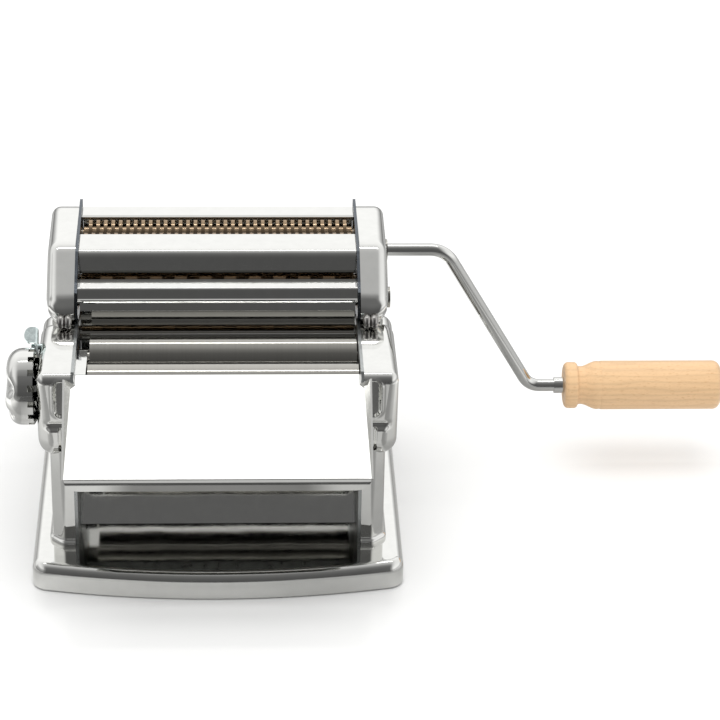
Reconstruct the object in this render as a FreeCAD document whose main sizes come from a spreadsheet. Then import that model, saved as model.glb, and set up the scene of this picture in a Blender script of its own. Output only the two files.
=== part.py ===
"""Hand cranked pasta machine with a two width cutter, a dough tray and a wooden crank grip.

Frame: +X to the right (crank side), +Y away from the person who turns the crank, +Z up.
The origin is the middle of the base, on the table. All sizes are in millimetres.
"""
import FreeCAD, Part
import Sketcher
import math
import os
import re

V = FreeCAD.Vector
X_AXIS = V(1, 0, 0)
LEFT, RIGHT = -1, 1
SIDES = ((LEFT, "left"), (RIGHT, "right"))

# Driving sizes: name, value or its tie to other sizes, what it is
SIZES = [
    ("base_width", "2 * leg_half + 19.8", "pressed base across the machine"),
    ("base_depth", 184, "pressed base front to back, at its middle"),
    ("base_height", 15, "top of the base above the table"),
    ("base_lift", 1, "rim of the base above the table"),
    ("base_bow", 11, "how far the front edge bows out"),
    ("base_corner", 9, "plan radius of the base corners"),
    ("base_edge", 5.5, "rounding of the base's top edge"),
    ("base_wall", 1.4, "sheet of the base"),
    ("foot_radius", 9, "rubber foot"),
    ("foot_inset", 17, "foot centre from the base's side"),
    ("foot_front", "base_depth / 2 - 26", "front feet ahead of the origin"),
    ("foot_rear", "base_depth / 2 - 18", "rear feet behind the origin"),
    ("inner_half", 72.5, "half the clear width between the side plates"),
    ("plate_wall", 1.6, "side plate"),
    ("sheet", 1.2, "chromed cover sheet"),
    ("thin_sheet", 1.0, "hoods, tray and chute"),
    ("joint_gap", 0.3, "gap between parts that only sit side by side"),
    ("slide_gap", 0.15, "gap of a part that slides in a guide"),
    ("running_gap", 0.05, "radial clearance of a shaft in its bearing"),
    ("leg_front", "front_roller_y - roller_radius - 3", "front face of the legs"),
    ("leg_rear", "cover_rear - 4", "rear face of the legs"),
    ("leg_half", "inner_half + 13.6", "outer face of the legs from the middle"),
    ("leg_chamfer", 5.8, "chamfered outer corners of the legs"),
    ("foot_rim", 1.6, "how far the leg's foot rim stands out"),
    ("foot_rim_height", 1.9, "height of the leg's foot rim"),
    ("tab_width", 9, "foot tab of a side plate"),
    ("cover_front", "leg_front - 2", "front face of the side covers"),
    ("cover_rear", "roller_y + 2 * roller_radius + 4.8", "rear face of the side covers"),
    ("cover_bottom", "roller_height - pinion_drop - roller_radius - 0.8", "underside of the side covers"),
    ("cover_top", "roller_height + roller_radius + 3.5", "top of the side covers"),
    ("seat_front", "roller_y + roller_radius - 0.5", "front of the low seat under the cutter attachment"),
    ("seat_drop", 5.5, "seat below the top of the side covers"),
    ("cover_half", "leg_half + 5.7", "outer face of the side covers from the middle"),
    ("cover_corner", 7, "corner radius of the side covers, seen from the side"),
    ("cover_bottom_corner", 13, "lower corner radius of the side covers, seen from the side"),
    ("cover_round", 6.5, "rounding round the outer face of the side covers"),
    ("roller_radius", 14, "smooth roller"),
    ("roller_height", 98.5, "axes of the smooth rollers above the table"),
    ("roller_y", -14.8, "axis of the rear smooth roller"),
    ("roller_gap", 2.2, "gap between the rollers at the widest setting"),
    ("front_roller_y", "roller_y - 2 * roller_radius - roller_gap", "axis of the front smooth roller, then"),
    ("roller_left", "-(inner_half - 6.3)", "left end of the rollers' working face"),
    ("roller_right", "inner_half - 0.6", "right end of the rollers' working face"),
    ("roller_travel", 1.9, "how far the front roller closes"),
    ("journal", 6, "radius of the smooth rollers' journals"),
    ("bush_wall", 2.5, "wall of a plain bearing bush"),
    ("bush_flange", 1.5, "flange of a plain bearing bush"),
    ("bush_lip", 2, "how far that flange stands out"),
    ("roller_bush_length", 6, "bushes of the rear roller"),
    ("drive_bush_length", 7, "bush of the drive shaft"),
    ("block_depth", 22, "sliding bearing block front to back"),
    ("block_up", 12, "bearing block above the roller axis"),
    ("block_down", "roller_radius + 8", "bearing block below the roller axis"),
    ("block_lip", 2, "lip of the block outside the side plate"),
    ("block_out", "inner_half + 6.9", "outer face of the bearing blocks"),
    ("yoke_depth", 3, "depth of the left block's yoke for the eccentric"),
    ("bar_height", 4, "carriage bar"),
    ("bar_depth", 10, "carriage bar front to back"),
    ("gear_start", "block_out + 0.5", "inner face of the roller gears"),
    ("gear_width", 6, "roller gears"),
    ("gear_teeth", 14, "teeth of a roller gear"),
    ("pinion_teeth", 10, "teeth of the drive pinion"),
    ("gear_addendum", 1.3, "teeth above the pitch circle"),
    ("gear_root_gap", 0.4, "gap over a tooth's tip at the closest setting"),
    ("gear_thinning", 0.75, "teeth thinned for the rollers' travel"),
    ("pinion_root", 2.1, "pinion's root below its pitch circle"),
    ("pinion_thinning", 0.1, "pinion's teeth thinned further"),
    ("pinion_drop", "roller_radius + 4", "drive axis below the roller axes"),
    ("drive_radius", 7, "drive shaft at the socket"),
    ("socket_radius", 3.36, "bore of a crank socket"),
    ("socket_depth", 15, "round part of a crank socket"),
    ("socket_key", 4.5, "length of the slot at the bottom of a crank socket"),
    ("key_width", 2.4, "width of that slot"),
    ("key_step", 0.25, "ends of that slot inside the bore's wall"),
    ("drive_end", "cover_half + 1.6", "outer end of the drive shaft"),
    ("dial_rise", 1.2, "dial axis above the roller axes"),
    ("dial_radius", 19.7, "thickness dial"),
    ("dial_inner", "-(cover_half + 1.6)", "inner rim of the dial"),
    ("dial_outer", "dial_inner - 14.3", "outer face of the dial"),
    ("dial_dome", 8.5, "rounding of the dial's outer edge"),
    ("dial_wall", 2.2, "rim wall of the dial"),
    ("dial_floor", 6.5, "thickness of the dial behind its face"),
    ("dial_notches", 15, "notches round the dial"),
    ("notch_width", 3.4, "notch in the dial's rim"),
    ("notch_depth", 3.6, "depth of a notch along the axis"),
    ("dial_shaft_radius", 4.5, "dial shaft"),
    ("eccentric_radius", 7, "eccentric on the dial shaft"),
    ("eccentric_throw", 1.1, "eccentric's offset from the dial axis"),
    ("bracket_wall", 2, "dial bracket"),
    ("bracket_half", 9, "half height of the dial bracket"),
    ("stand_off", 1.9, "radius of the bracket's stand-offs"),
    ("lever_y", "front_roller_y + dial_radius - 0.3", "pivot of the lock lever"),
    ("lever_z", "roller_height + 14.1", "pivot of the lock lever"),
    ("lever_wall", 1, "lock lever sheet"),
    ("lever_outer", "-(cover_half + 1.3)", "outer face of the lock lever"),
    ("lever_pin", 1.5, "radius of the lock lever's pin"),
    ("lever_tab", 7.2, "thumb tab of the lock lever, outwards"),
    ("scraper_lead", 1.5, "tip of a scraper beyond its roller's axis"),
    ("scraper_reach", 11, "foot of a scraper beyond its roller's axis"),
    ("scraper_drop", 1.8, "foot of a scraper below its tip"),
    ("tray_back_y", "front_roller_y - roller_radius - 1.5", "back edge of the dough tray"),
    ("tray_back_z", "cover_top - 0.8", "back edge of the dough tray"),
    ("tray_slope", 40, "fall of the dough tray in degrees"),
    ("tray_length", 58.4, "dough tray down its slope"),
    ("tray_tongue", 5.9, "narrow part of the tray between the side plates"),
    ("tray_tongue_half", "inner_half - 0.9", "half width of that part"),
    ("tray_back_half", "inner_half + 1.4", "half width of the tray ahead of the side plates"),
    ("tray_front_half", "inner_half + 4.3", "half width of the tray at its front"),
    ("cheek_height", 9, "side cheek of the tray at its back"),
    ("cheek_lean", 2.8, "how far a cheek leans out"),
    ("lip_radius", 4, "rolled front edge of the tray"),
    ("lip_drop", 5, "flat lip below the roll"),
    ("stud_radius", 2.5, "tray stud"),
    ("stud_length", 6, "tray stud"),
    ("chute_foot", "front_roller_y + 3.7", "foot of the chute plate on the base"),
    ("chute_slope", 58, "chute plate in degrees"),
    ("chute_length", "roller_height - 24.5", "chute plate"),
    ("panel_height", "roller_height - 14.5", "rear panel"),
    ("tie_radius", 4, "tie rod"),
    ("tie_front_y", "leg_front + 7", "front tie rod"),
    ("tie_front_z", "cover_bottom - 6.7", "front tie rod"),
    ("tie_low_y", "leg_rear - 7.5", "lower rear tie rod"),
    ("tie_low_z", "cover_bottom - 7.7", "lower rear tie rod"),
    ("tie_high_y", "leg_rear - 6.5", "upper rear tie rod"),
    ("tie_high_z", "roller_height + 4.5", "upper rear tie rod"),
    ("tie_shoulder", 1.2, "step from a tie rod down to its threaded ends"),
    ("nut_radius", 5, "tie rod nut across its corners, half"),
    ("nut_height", 3.2, "tie rod nut"),
    ("guide_top", "roller_height + roller_radius + 0.5", "top of the roller end guide"),
    ("guide_front", "front_roller_y - 11", "front of the roller end guide"),
    ("guide_rear", "front_roller_y + 15", "rear of the roller end guide"),
    ("cutter_y", "cover_rear + 27", "crank axis, which is the front fine cutter roller"),
    ("cutter_z", "cover_top + 17", "crank axis above the table"),
    ("cutter_pitch", "2 * ring_radius - 2.2", "axis distance of a pair of cutter rollers"),
    ("wide_back", "2 * ring_radius + 16", "wide pair ahead of the fine pair"),
    ("wide_drop", 10.4, "wide pair below the fine pair"),
    ("ring_radius", 9.5, "cutter rings"),
    ("groove_radius", "cutter_pitch - ring_radius - 1.1", "grooves between cutter rings"),
    ("cutter_shaft", 4.5, "cutter roller shafts"),
    ("cutter_half", "inner_half - 0.8", "half length of the grooved part of a cutter roller"),
    ("fine_pitch", 4, "two fine noodle widths"),
    ("fine_rings", 36, "rings of the front fine roller"),
    ("wide_pitch", 13, "two wide noodle widths"),
    ("wide_rings", 11, "rings of the front wide roller"),
    ("ring_gap", 0.15, "side clearance of the rings"),
    ("comb_half", 1.5, "half depth of a stripper comb's strip"),
    ("comb_rise", 1, "half height of that strip"),
    ("finger_root", 0.9, "half thickness of a comb's finger at the strip"),
    ("finger_tip", 0.4, "half thickness of a comb's finger at its tip"),
    ("finger_gap", 0.275, "gap on either side of a comb's finger"),
    ("apron_gap", 0.7, "apron inside the side plates"),
    ("end_inner", "inner_half + 0.4", "inner face of the cutter end plates"),
    ("end_wall", 1.5, "cutter end plates"),
    ("end_cover_half", "end_inner + 16.2", "outer face of the cutter end covers"),
    ("end_cover_corner", 5, "corner radius of the cutter end covers, seen from the side"),
    ("end_cover_nose", 4.2, "corner radius of their noses, seen from the side"),
    ("end_cover_round", 4, "rounding round the outer face of the cutter end covers"),
    ("cutter_gear_start", "end_inner + 4.3", "inner face of the cutter gears"),
    ("cutter_gear_width", 5.6, "cutter gears"),
    ("cutter_gear_teeth", 12, "teeth of a cutter gear"),
    ("cutter_addendum", 1.05, "cutter gear teeth above the pitch circle"),
    ("cutter_dedendum", 1.45, "cutter gear teeth below the pitch circle"),
    ("cutter_thinning", 0.3, "cutter gear teeth thinned for backlash"),
    ("cutter_bush_wall", 2, "wall of the cutter bushes"),
    ("cutter_bush_lip", 1.4, "how far their flanges stand out"),
    ("cutter_bush_flange", 1.2, "flanges of the cutter bushes"),
    ("cutter_bush_end", 1.6, "cutter bushes beyond the end plates"),
    ("cutter_socket_radius", 5.5, "socket ends of the cutter shafts"),
    ("cutter_socket_end", "end_cover_half + 1.3", "outer end of the cutter sockets"),
    ("hood_rear", "cutter_y + cutter_pitch + ring_radius + 6.3", "rear face of the rear hood"),
    ("hood_bottom", "cutter_z - 21", "lower edge of the rear hood"),
    ("rod_slim", 1.8, "tie rods of the cutter attachment"),
    ("rod_step", 0.4, "step down to their riveted ends"),
    ("cover_nose", "cutter_y - wide_back - ring_radius - 9.5", "front of the cutter end covers"),
    ("hook_radius", 3.5, "rounded hooks on the cutter end covers"),
    ("end_bottom", "cover_top - 12", "underside of the cutter end covers, behind the body"),
    ("apron_bottom", "cover_top - 5", "lower edge of the apron"),
    ("deck_high", "cutter_z + ring_radius + 1.3", "upper deck of the cutter hoods"),
    ("deck_low", "cutter_z - wide_drop + ring_radius + 1.5", "lower deck of the cutter hoods"),
    ("rod_radius", 3.3, "crank rod"),
    ("crank_drop", 83.3, "grip axis below the crank axis"),
    ("crank_straight", "end_cover_half + 32.4", "first bend of the crank, from the middle"),
    ("crank_second", "crank_straight + 48.7", "second bend of the crank, from the middle"),
    ("crank_bend", 14, "bend radius of the crank rod at its axis"),
    ("crank_second_bend", 10, "second bend radius at its axis"),
    ("grip_start", "crank_second + 19.2", "inner end of the wooden grip"),
    ("grip_length", 86, "wooden grip"),
    ("grip_radius", 13.4, "wooden grip"),
    ("grip_bead", 12.7, "bead at the inner end of the grip"),
    ("grip_neck", 10.4, "neck of the grip"),
    ("bead_length", 7.5, "bead along the grip"),
    ("neck_length", 19.5, "bead and neck along the grip"),
    ("grip_round", 4, "rounding of the grip's outer end"),
    ("grip_bore", 3.36, "hole in the grip"),
    ("grip_bore_depth", 70, "hole in the grip"),
    ("washer_radius", 4.4, "collar in front of the grip"),
    ("collar_length", 5.1, "that collar along the rod"),
    ("screw_radius", 2, "machine screws"),
    ("screw_head", 3.6, "screw heads"),
    ("screw_head_height", 2, "screw heads"),
    ("cover_screw_length", 12, "cover screws below their heads"),
    ("pillar_wall", 2.2, "wall of the threaded pillars under the side covers"),
    ("leg_screw_rise", 4.5, "leg screws above the side plates' foot tabs"),
    ("leg_nut_radius", 4, "leg nut across its corners, half"),
    ("leg_nut_height", 3, "leg nut"),
    ("end_screw_radius", 1.55, "screws of the cutter end covers"),
    ("end_screw_head", 3, "heads of those screws"),
    ("end_screw_head_height", 1.6, "heads of those screws"),
    ("end_screw_length", 9, "those screws below their heads"),
    ("end_pillar_radius", 3.4, "threaded pillars under the cutter end covers"),
    ("end_screw_rise", 7.8, "front screw of a cutter end cover above its underside"),
    ("end_screw_back", 2.4, "rear screw of a cutter end cover ahead of the rear hood's face"),
    ("clamp_bore", 5, "hole for a table clamp's pin"),
    ("clamp_y", "base_depth / 2 - 16", "hole for a table clamp's pin"),
    ("clamp_depth", "base_height - 4", "depth of that hole with its collar"),
]

doc = FreeCAD.newDocument("pasta_machine")
dims = doc.addObject("Spreadsheet::Sheet", "dims")
for row, (alias, number, meaning) in enumerate(SIZES, start=1):
    dims.set(f"A{row}", meaning)
    dims.setAlias(f"B{row}", alias)
for row, (alias, number, meaning) in enumerate(SIZES, start=1):
    dims.set(f"B{row}", f"={number}")
doc.recompute()

ALIASES = {alias for alias, number, meaning in SIZES}
nodes = []


def expression(text):
    """The text with each size name pointing at its cell of the sheet."""
    def cell(match):
        word = match.group(0)
        return "dims." + word if word in ALIASES else word
    return re.sub(r"[a-z_][a-z_0-9]*", cell, str(text))


def value(text):
    """The number, in millimetres or degrees, that an expression of size names comes to."""
    result = dims.evalExpression(expression(text))
    return float(getattr(result, "Value", result))


def bind(thing, prop, text):
    """Ties a property to an expression of size names."""
    thing.setExpression(prop, expression(text))


def node(thing, label):
    """Marks an object of the document as a finished sub-part."""
    thing.Label = label
    nodes.append(thing)
    return thing


# Sketches and solid features

def origin_feature(body, role):
    return [f for f in body.Origin.OriginFeatures if f.Role == role][0]


def new_sketch(body, plane, offset="0"):
    """A sketch on one of the body's own planes, moved along its normal."""
    sketch = body.newObject("Sketcher::SketchObject", body.Name + "_sketch")
    sketch.AttachmentSupport = [(origin_feature(body, plane), "")]
    sketch.MapMode = "FlatFace"
    bind(sketch, "AttachmentOffset.Base.z", offset)
    return sketch


def place_point(sketch, geometry, end, x, y):
    """Fixes a point of the sketch at two expressions."""
    for kind, text in (("DistanceX", x), ("DistanceY", y)):
        constraint = Sketcher.Constraint(kind, -1, 1, geometry, end, value(text))
        bind(sketch, f"Constraints[{sketch.addConstraint(constraint)}]", text)


def outline(sketch, points):
    """A closed chain of straight edges through points given as pairs of expressions."""
    numbers = [V(value(x), value(y), 0) for x, y in points]
    first = sketch.GeometryCount
    count = len(points)
    for i in range(count):
        sketch.addGeometry(Part.LineSegment(numbers[i], numbers[(i + 1) % count]), False)
    for i in range(count):
        follower = first + (i + 1) % count
        sketch.addConstraint(Sketcher.Constraint("Coincident", first + i, 2, follower, 1))
        place_point(sketch, first + i, 1, *points[i])
    return sketch


def rectangle(sketch, left, right, bottom, top):
    return outline(sketch, [(left, bottom), (right, bottom), (right, top), (left, top)])


def circle(sketch, x, y, radius):
    centre = V(value(x), value(y), 0)
    index = sketch.addGeometry(Part.Circle(centre, V(0, 0, 1), value(radius)), False)
    place_point(sketch, index, 3, x, y)
    constraint = Sketcher.Constraint("Radius", index, value(radius))
    bind(sketch, f"Constraints[{sketch.addConstraint(constraint)}]", radius)
    return sketch


def pad(body, sketch, length, reverse=False):
    feature = body.newObject("PartDesign::Pad", body.Name + "_pad")
    feature.Profile = sketch
    feature.Reversed = reverse
    bind(feature, "Length", length)
    sketch.Visibility = False
    return feature


def cut_through(body, sketch):
    """Cuts a sketch away, from its plane against its normal, through everything it meets."""
    doc.recompute()
    before = body.Shape.Volume
    feature = body.newObject("PartDesign::Pocket", body.Name + "_pocket")
    feature.Profile = sketch
    feature.Type = "ThroughAll"
    doc.recompute()
    if body.Shape.Volume >= before:
        raise RuntimeError(f"a pocket of {body.Name} cuts nothing")
    return feature


def edges_where(feature, test):
    """Names of the edges of a feature that pass a test."""
    return [f"Edge{i}" for i, edge in enumerate(feature.Shape.Edges, start=1) if test(edge)]


def fillet(body, feature, test, radius):
    doc.recompute()
    names = edges_where(feature, test)
    if not names:
        raise RuntimeError(f"no edge of {body.Name} to round")
    rounded = body.newObject("PartDesign::Fillet", body.Name + "_fillet")
    rounded.Base = (feature, names)
    bind(rounded, "Radius", radius)
    doc.recompute()
    return rounded


def hollow(body, feature, test, wall):
    """Leaves a wall inside the faces of a feature, open at the faces that pass a test."""
    doc.recompute()
    names = [f"Face{i}" for i, face in enumerate(feature.Shape.Faces, start=1) if test(face)]
    shell = body.newObject("PartDesign::Thickness", body.Name + "_shell")
    shell.Base = (feature, names)
    bind(shell, "Value", wall)
    shell.Reversed = True
    doc.recompute()
    return shell


def repeat_along_x(body, feature, pitch, count):
    pattern = body.newObject("PartDesign::LinearPattern", body.Name + "_row")
    pattern.Originals = [feature]
    pattern.Direction = (origin_feature(body, "X_Axis"), [""])
    bind(pattern, "Length", f"({pitch}) * (({count}) - 1)")
    bind(pattern, "Occurrences", count)
    body.Tip = pattern
    return pattern


def flat_part(label, plane, start, length, draw, reverse=False):
    """A flat part: draw(sketch) fills a sketch at start along the plane's normal, then it is padded."""
    body = doc.addObject("PartDesign::Body", label)
    sketch = new_sketch(body, plane, start)
    draw(sketch)
    pad(body, sketch, length, reverse)
    return node(body, label)


def along(edge, axis):
    """True for a straight edge that runs along an axis."""
    ends = edge.Vertexes
    if len(ends) != 2 or edge.Curve.TypeId != "Part::GeomLine":
        return False
    run = ends[1].Point - ends[0].Point
    return run.Length > 0 and abs(abs(run.normalize().dot(axis)) - 1) < 1e-6


def in_plane(edge, coordinate, place):
    """True for an edge that lies in the plane where x, y or z has one value."""
    points = edge.discretize(5)
    return all(abs(getattr(p, coordinate) - place) < 1e-4 for p in points)


# Round bars along X and plain boxes

def bar(name, radius, start, end, y, z):
    """A round bar along X between two expressions."""
    thing = doc.addObject("Part::Cylinder", name)
    thing.Placement = FreeCAD.Placement(V(0, 0, 0), FreeCAD.Rotation(V(0, 1, 0), 90))
    bind(thing, "Radius", radius)
    bind(thing, "Height", f"({end}) - ({start})")
    bind(thing, "Placement.Base.x", start)
    bind(thing, "Placement.Base.y", y)
    bind(thing, "Placement.Base.z", z)
    return thing


def post(name, radius, x, y, bottom, top):
    """A round post along Z between two expressions."""
    thing = doc.addObject("Part::Cylinder", name)
    bind(thing, "Radius", radius)
    bind(thing, "Height", f"({top}) - ({bottom})")
    bind(thing, "Placement.Base.x", x)
    bind(thing, "Placement.Base.y", y)
    bind(thing, "Placement.Base.z", bottom)
    return thing


def box(name, x0, x1, y0, y1, z0, z1):
    """A box between pairs of expressions."""
    thing = doc.addObject("Part::Box", name)
    for size, low, high in (("Length", x0, x1), ("Width", y0, y1), ("Height", z0, z1)):
        bind(thing, size, f"({high}) - ({low})")
    for axis, low in (("x", x0), ("y", y0), ("z", z0)):
        bind(thing, "Placement.Base." + axis, low)
    return thing


def fuse(label, parts):
    thing = doc.addObject("Part::MultiFuse", label)
    thing.Shapes = parts
    thing.Refine = True
    return thing


def cut(label, base, tool):
    thing = doc.addObject("Part::Cut", label)
    thing.Base = base
    thing.Tool = tool
    return thing


def group(label, parts):
    """Several separate solids under one name."""
    thing = doc.addObject("Part::Compound", label)
    thing.Links = parts
    return node(thing, label)


def solid(label, shape, placement=FreeCAD.Placement()):
    """A part whose shape is worked out from the sheet by one of the functions below."""
    thing = doc.addObject("Part::Feature", label)
    thing.Shape = shape
    thing.Placement = placement
    return node(thing, label)


def mirrored(side, low, high):
    """A span along X given for the right side, as (start, end) expressions on either side."""
    return (low, high) if side == RIGHT else (f"-({high})", f"-({low})")


# Shared places, as expressions of the sizes

PLATE_OUT = "inner_half + plate_wall"
END_OUT = "end_inner + end_wall"
FRONT_ROLLER_Y = "front_roller_y"
DIAL_Y = f"{FRONT_ROLLER_Y} + roller_travel / 2"
DIAL_Z = "roller_height + dial_rise"
GEAR_MODULE = "(2 * roller_radius + roller_gap - roller_travel / 2) / gear_teeth"
FINE_REAR_Y = "cutter_y + cutter_pitch"
WIDE_FRONT_Y = "cutter_y + cutter_pitch - wide_back - cutter_pitch"
WIDE_REAR_Y = "cutter_y + cutter_pitch - wide_back"
WIDE_Z = "cutter_z - wide_drop"
MESH_DISTANCE = f"({GEAR_MODULE}) * (gear_teeth + pinion_teeth) / 2"
PINION_Z = "roller_height - pinion_drop"
PINION_Y = f"roller_y + sqrt(({MESH_DISTANCE})^2 - pinion_drop^2)"
GRIP_Z = "cutter_z - crank_drop"


# Base and feet

def make_base():
    """Pressed sheet tray, open below, with a bowed front, a rounded top edge and a collared clamp hole."""
    body = doc.addObject("PartDesign::Body", "base_plate")
    sketch = new_sketch(body, "XY_Plane", "base_lift")
    corners = [("base_width / 2", "base_depth / 2"), ("-base_width / 2", "base_depth / 2"),
               ("-base_width / 2", "base_bow - base_depth / 2"),
               ("base_width / 2", "base_bow - base_depth / 2")]
    points = [V(value(x), value(y), 0) for x, y in corners]
    for i in (0, 1):
        sketch.addGeometry(Part.LineSegment(points[i], points[i + 1]), False)
    nose = V(0, value("-base_depth / 2"), 0)
    sketch.addGeometry(Part.Arc(points[2], nose, points[3]), False)
    sketch.addGeometry(Part.LineSegment(points[3], points[0]), False)
    for i in range(4):
        sketch.addConstraint(Sketcher.Constraint("Coincident", i, 2, (i + 1) % 4, 1))
    for i, corner in enumerate(corners):
        place_point(sketch, i, 1, *corner)
    bow_radius = "((base_width / 2)^2 + base_bow^2) / (2 * base_bow)"
    constraint = Sketcher.Constraint("Radius", 2, value(bow_radius))
    bind(sketch, f"Constraints[{sketch.addConstraint(constraint)}]", bow_radius)
    tray = pad(body, sketch, "base_height - base_lift")
    tray = fillet(body, tray, lambda e: along(e, V(0, 0, 1)), "base_corner")
    top = value("base_height")
    tray = fillet(body, tray, lambda e: in_plane(e, "z", top), "base_edge")
    rim = value("base_lift")
    hollow(body, tray, lambda f: abs(f.CenterOfMass.z - rim) < 1e-4, "base_wall")
    collar = new_sketch(body, "XY_Plane", "base_height - clamp_depth")
    circle(collar, "0", "clamp_y", "clamp_bore + base_wall")
    pad(body, collar, "clamp_depth - base_wall / 2")
    doc.recompute()
    holes = new_sketch(body, "XY_Plane", "base_height + 1")
    circle(holes, "0", "clamp_y", "clamp_bore")
    for side in (LEFT, RIGHT):
        for y in LEG_SCREWS:
            circle(holes, f"{side} * ({LEG_SCREW_X})", y, "screw_radius + running_gap")
    cut_through(body, holes)
    node(body, "base_plate")


LEG_SCREW_X = f"{PLATE_OUT} + tab_width / 2"
LEG_SCREWS = ("leg_front + 18", "leg_rear - 18")
UNDER_TOP = "base_height - base_wall"


def make_feet():
    feet = []
    for x in ("foot_inset - base_width / 2", "base_width / 2 - foot_inset"):
        for y in ("-foot_front", "foot_rear"):
            feet.append(post("foot", "foot_radius", x, y, "0", UNDER_TOP))
    group("base_feet", feet)


# Side plates, legs and covers

def plate_outline():
    """Side plate seen from the side: a leg below and the body above."""
    return [("leg_front + sheet", "base_height"), ("leg_rear - sheet", "base_height"),
            ("leg_rear - sheet", "cover_bottom"), ("cover_rear - 8", "cover_bottom"),
            ("cover_rear", "cover_bottom + 8"), ("cover_rear", "cover_top - seat_drop - 4"),
            ("cover_rear - 4", "cover_top - seat_drop"), ("seat_front", "cover_top - seat_drop"),
            ("seat_front", "cover_top"), ("cover_front + 5", "cover_top"),
            ("cover_front", "cover_top - 5"), ("cover_front", "cover_bottom + 8"),
            ("cover_front + 8", "cover_bottom"), ("leg_front + sheet", "cover_bottom")]


def make_side_plate(side, name):
    """Steel side plate with a window for the bearing block and a foot tab turned outwards."""
    label = "side_plate_" + name
    body = doc.addObject("PartDesign::Body", label)
    reverse = side == LEFT
    sketch = new_sketch(body, "YZ_Plane", f"{side} * inner_half")
    outline(sketch, plate_outline())
    circle(sketch, "roller_y", "roller_height", "journal + bush_wall")
    rectangle(sketch, f"{FRONT_ROLLER_Y} - block_depth / 2 - slide_gap",
              f"{FRONT_ROLLER_Y} + block_depth / 2 + roller_travel + slide_gap",
              "roller_height - block_down - slide_gap", "roller_height + block_up + slide_gap")
    for y, z in TIES:
        circle(sketch, y, z, "tie_radius - tie_shoulder")
    if side == RIGHT:
        circle(sketch, PINION_Y, PINION_Z, "drive_radius + bush_wall")
    pad(body, sketch, "plate_wall", reverse)
    tab = new_sketch(body, "YZ_Plane", f"{side} * ({PLATE_OUT})")
    rectangle(tab, "leg_front + 8", "leg_rear - 8", "base_height", "base_height + plate_wall")
    pad(body, tab, "tab_width", reverse)
    doc.recompute()
    holes = new_sketch(body, "XY_Plane", "base_height + plate_wall + 1")
    for y in LEG_SCREWS:
        circle(holes, f"{side} * ({LEG_SCREW_X})", y, "screw_radius + running_gap")
    cut_through(body, holes)
    node(body, label)


TIES = (("tie_front_y", "tie_front_z"), ("tie_low_y", "tie_low_z"), ("tie_high_y", "tie_high_z"))


def leg_profile(side, grow, inner):
    """Leg seen from above, grown outwards, its open side on the side plate."""
    outer = f"{side} * (leg_half + {grow})"
    start = f"{side} * ({inner})"
    front = f"leg_front - {grow}"
    rear = f"leg_rear + {grow}"
    corner = f"{side} * (leg_half + {grow} - leg_chamfer - 0.414 * {grow})"
    points = [(start, front), (corner, front), (outer, "leg_front + leg_chamfer"),
              (outer, "leg_rear - leg_chamfer"), (corner, rear), (start, rear)]
    return points if side == RIGHT else points[::-1]


def make_leg(side, name):
    """Chromed leg shell with chamfered corners and a rim round its foot."""
    label = "leg_shell_" + name
    body = doc.addObject("PartDesign::Body", label)
    foot = new_sketch(body, "XY_Plane", "base_height")
    outline(foot, leg_profile(side, "foot_rim", PLATE_OUT))
    inner = new_sketch(body, "XY_Plane", "base_height")
    outline(inner, leg_profile(side, "0", PLATE_OUT))
    pad(body, foot, "foot_rim_height")
    pad(body, inner, "cover_bottom - base_height - slide_gap")
    doc.recompute()
    core = new_sketch(body, "XY_Plane", "cover_bottom + 1")
    outline(core, leg_profile(side, "-sheet", f"{PLATE_OUT} - 5"))
    cut_through(body, core)
    node(body, label)


def cover_outline(inset="0"):
    """Side cover seen from the side, with the attachment's seat at the back, drawn in by an inset."""
    low = f"cover_bottom + {inset}"
    top = f"cover_top - {inset}"
    seat = f"cover_top - seat_drop - {inset}"
    front = f"cover_front + {inset}"
    rear = f"cover_rear - {inset}"
    step = f"seat_front - {inset}"
    return [(front, low), (rear, low), (rear, seat), (step, seat), (step, top), (front, top)]


def rounded_block(label, points, start, length, corner_fillets, face_round):
    """A block padded along +X, its long corners rounded and then the edge of its outer face."""
    body = doc.addObject("PartDesign::Body", label)
    sketch = new_sketch(body, "YZ_Plane", start)
    outline(sketch, points)
    block = pad(body, sketch, length)
    for test, radius in corner_fillets:
        block = fillet(body, block, test, radius)
    outer_x = value(f"({start}) + ({length})")
    fillet(body, block, lambda e: in_plane(e, "x", outer_x), face_round)
    return body


def mirror_image(source, name):
    """The same shape on the other side of the machine."""
    image = doc.addObject("Part::Mirroring", name)
    image.Source = source
    image.Normal = (1, 0, 0)
    return image


def drilled(label, shell, holes, side, half):
    """Drills holes, given as (y, z, radius), along X through the outer wall of a cover."""
    low, high = mirrored(side, f"{half} - cover_round - 4", f"{half} + 4")
    tools = [bar(f"{label}_hole{i}", radius, low, high, y, z) for i, (y, z, radius) in enumerate(holes)]
    node(cut(label, shell, fuse(label + "_holes", tools) if len(tools) > 1 else tools[0]), label)


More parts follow.
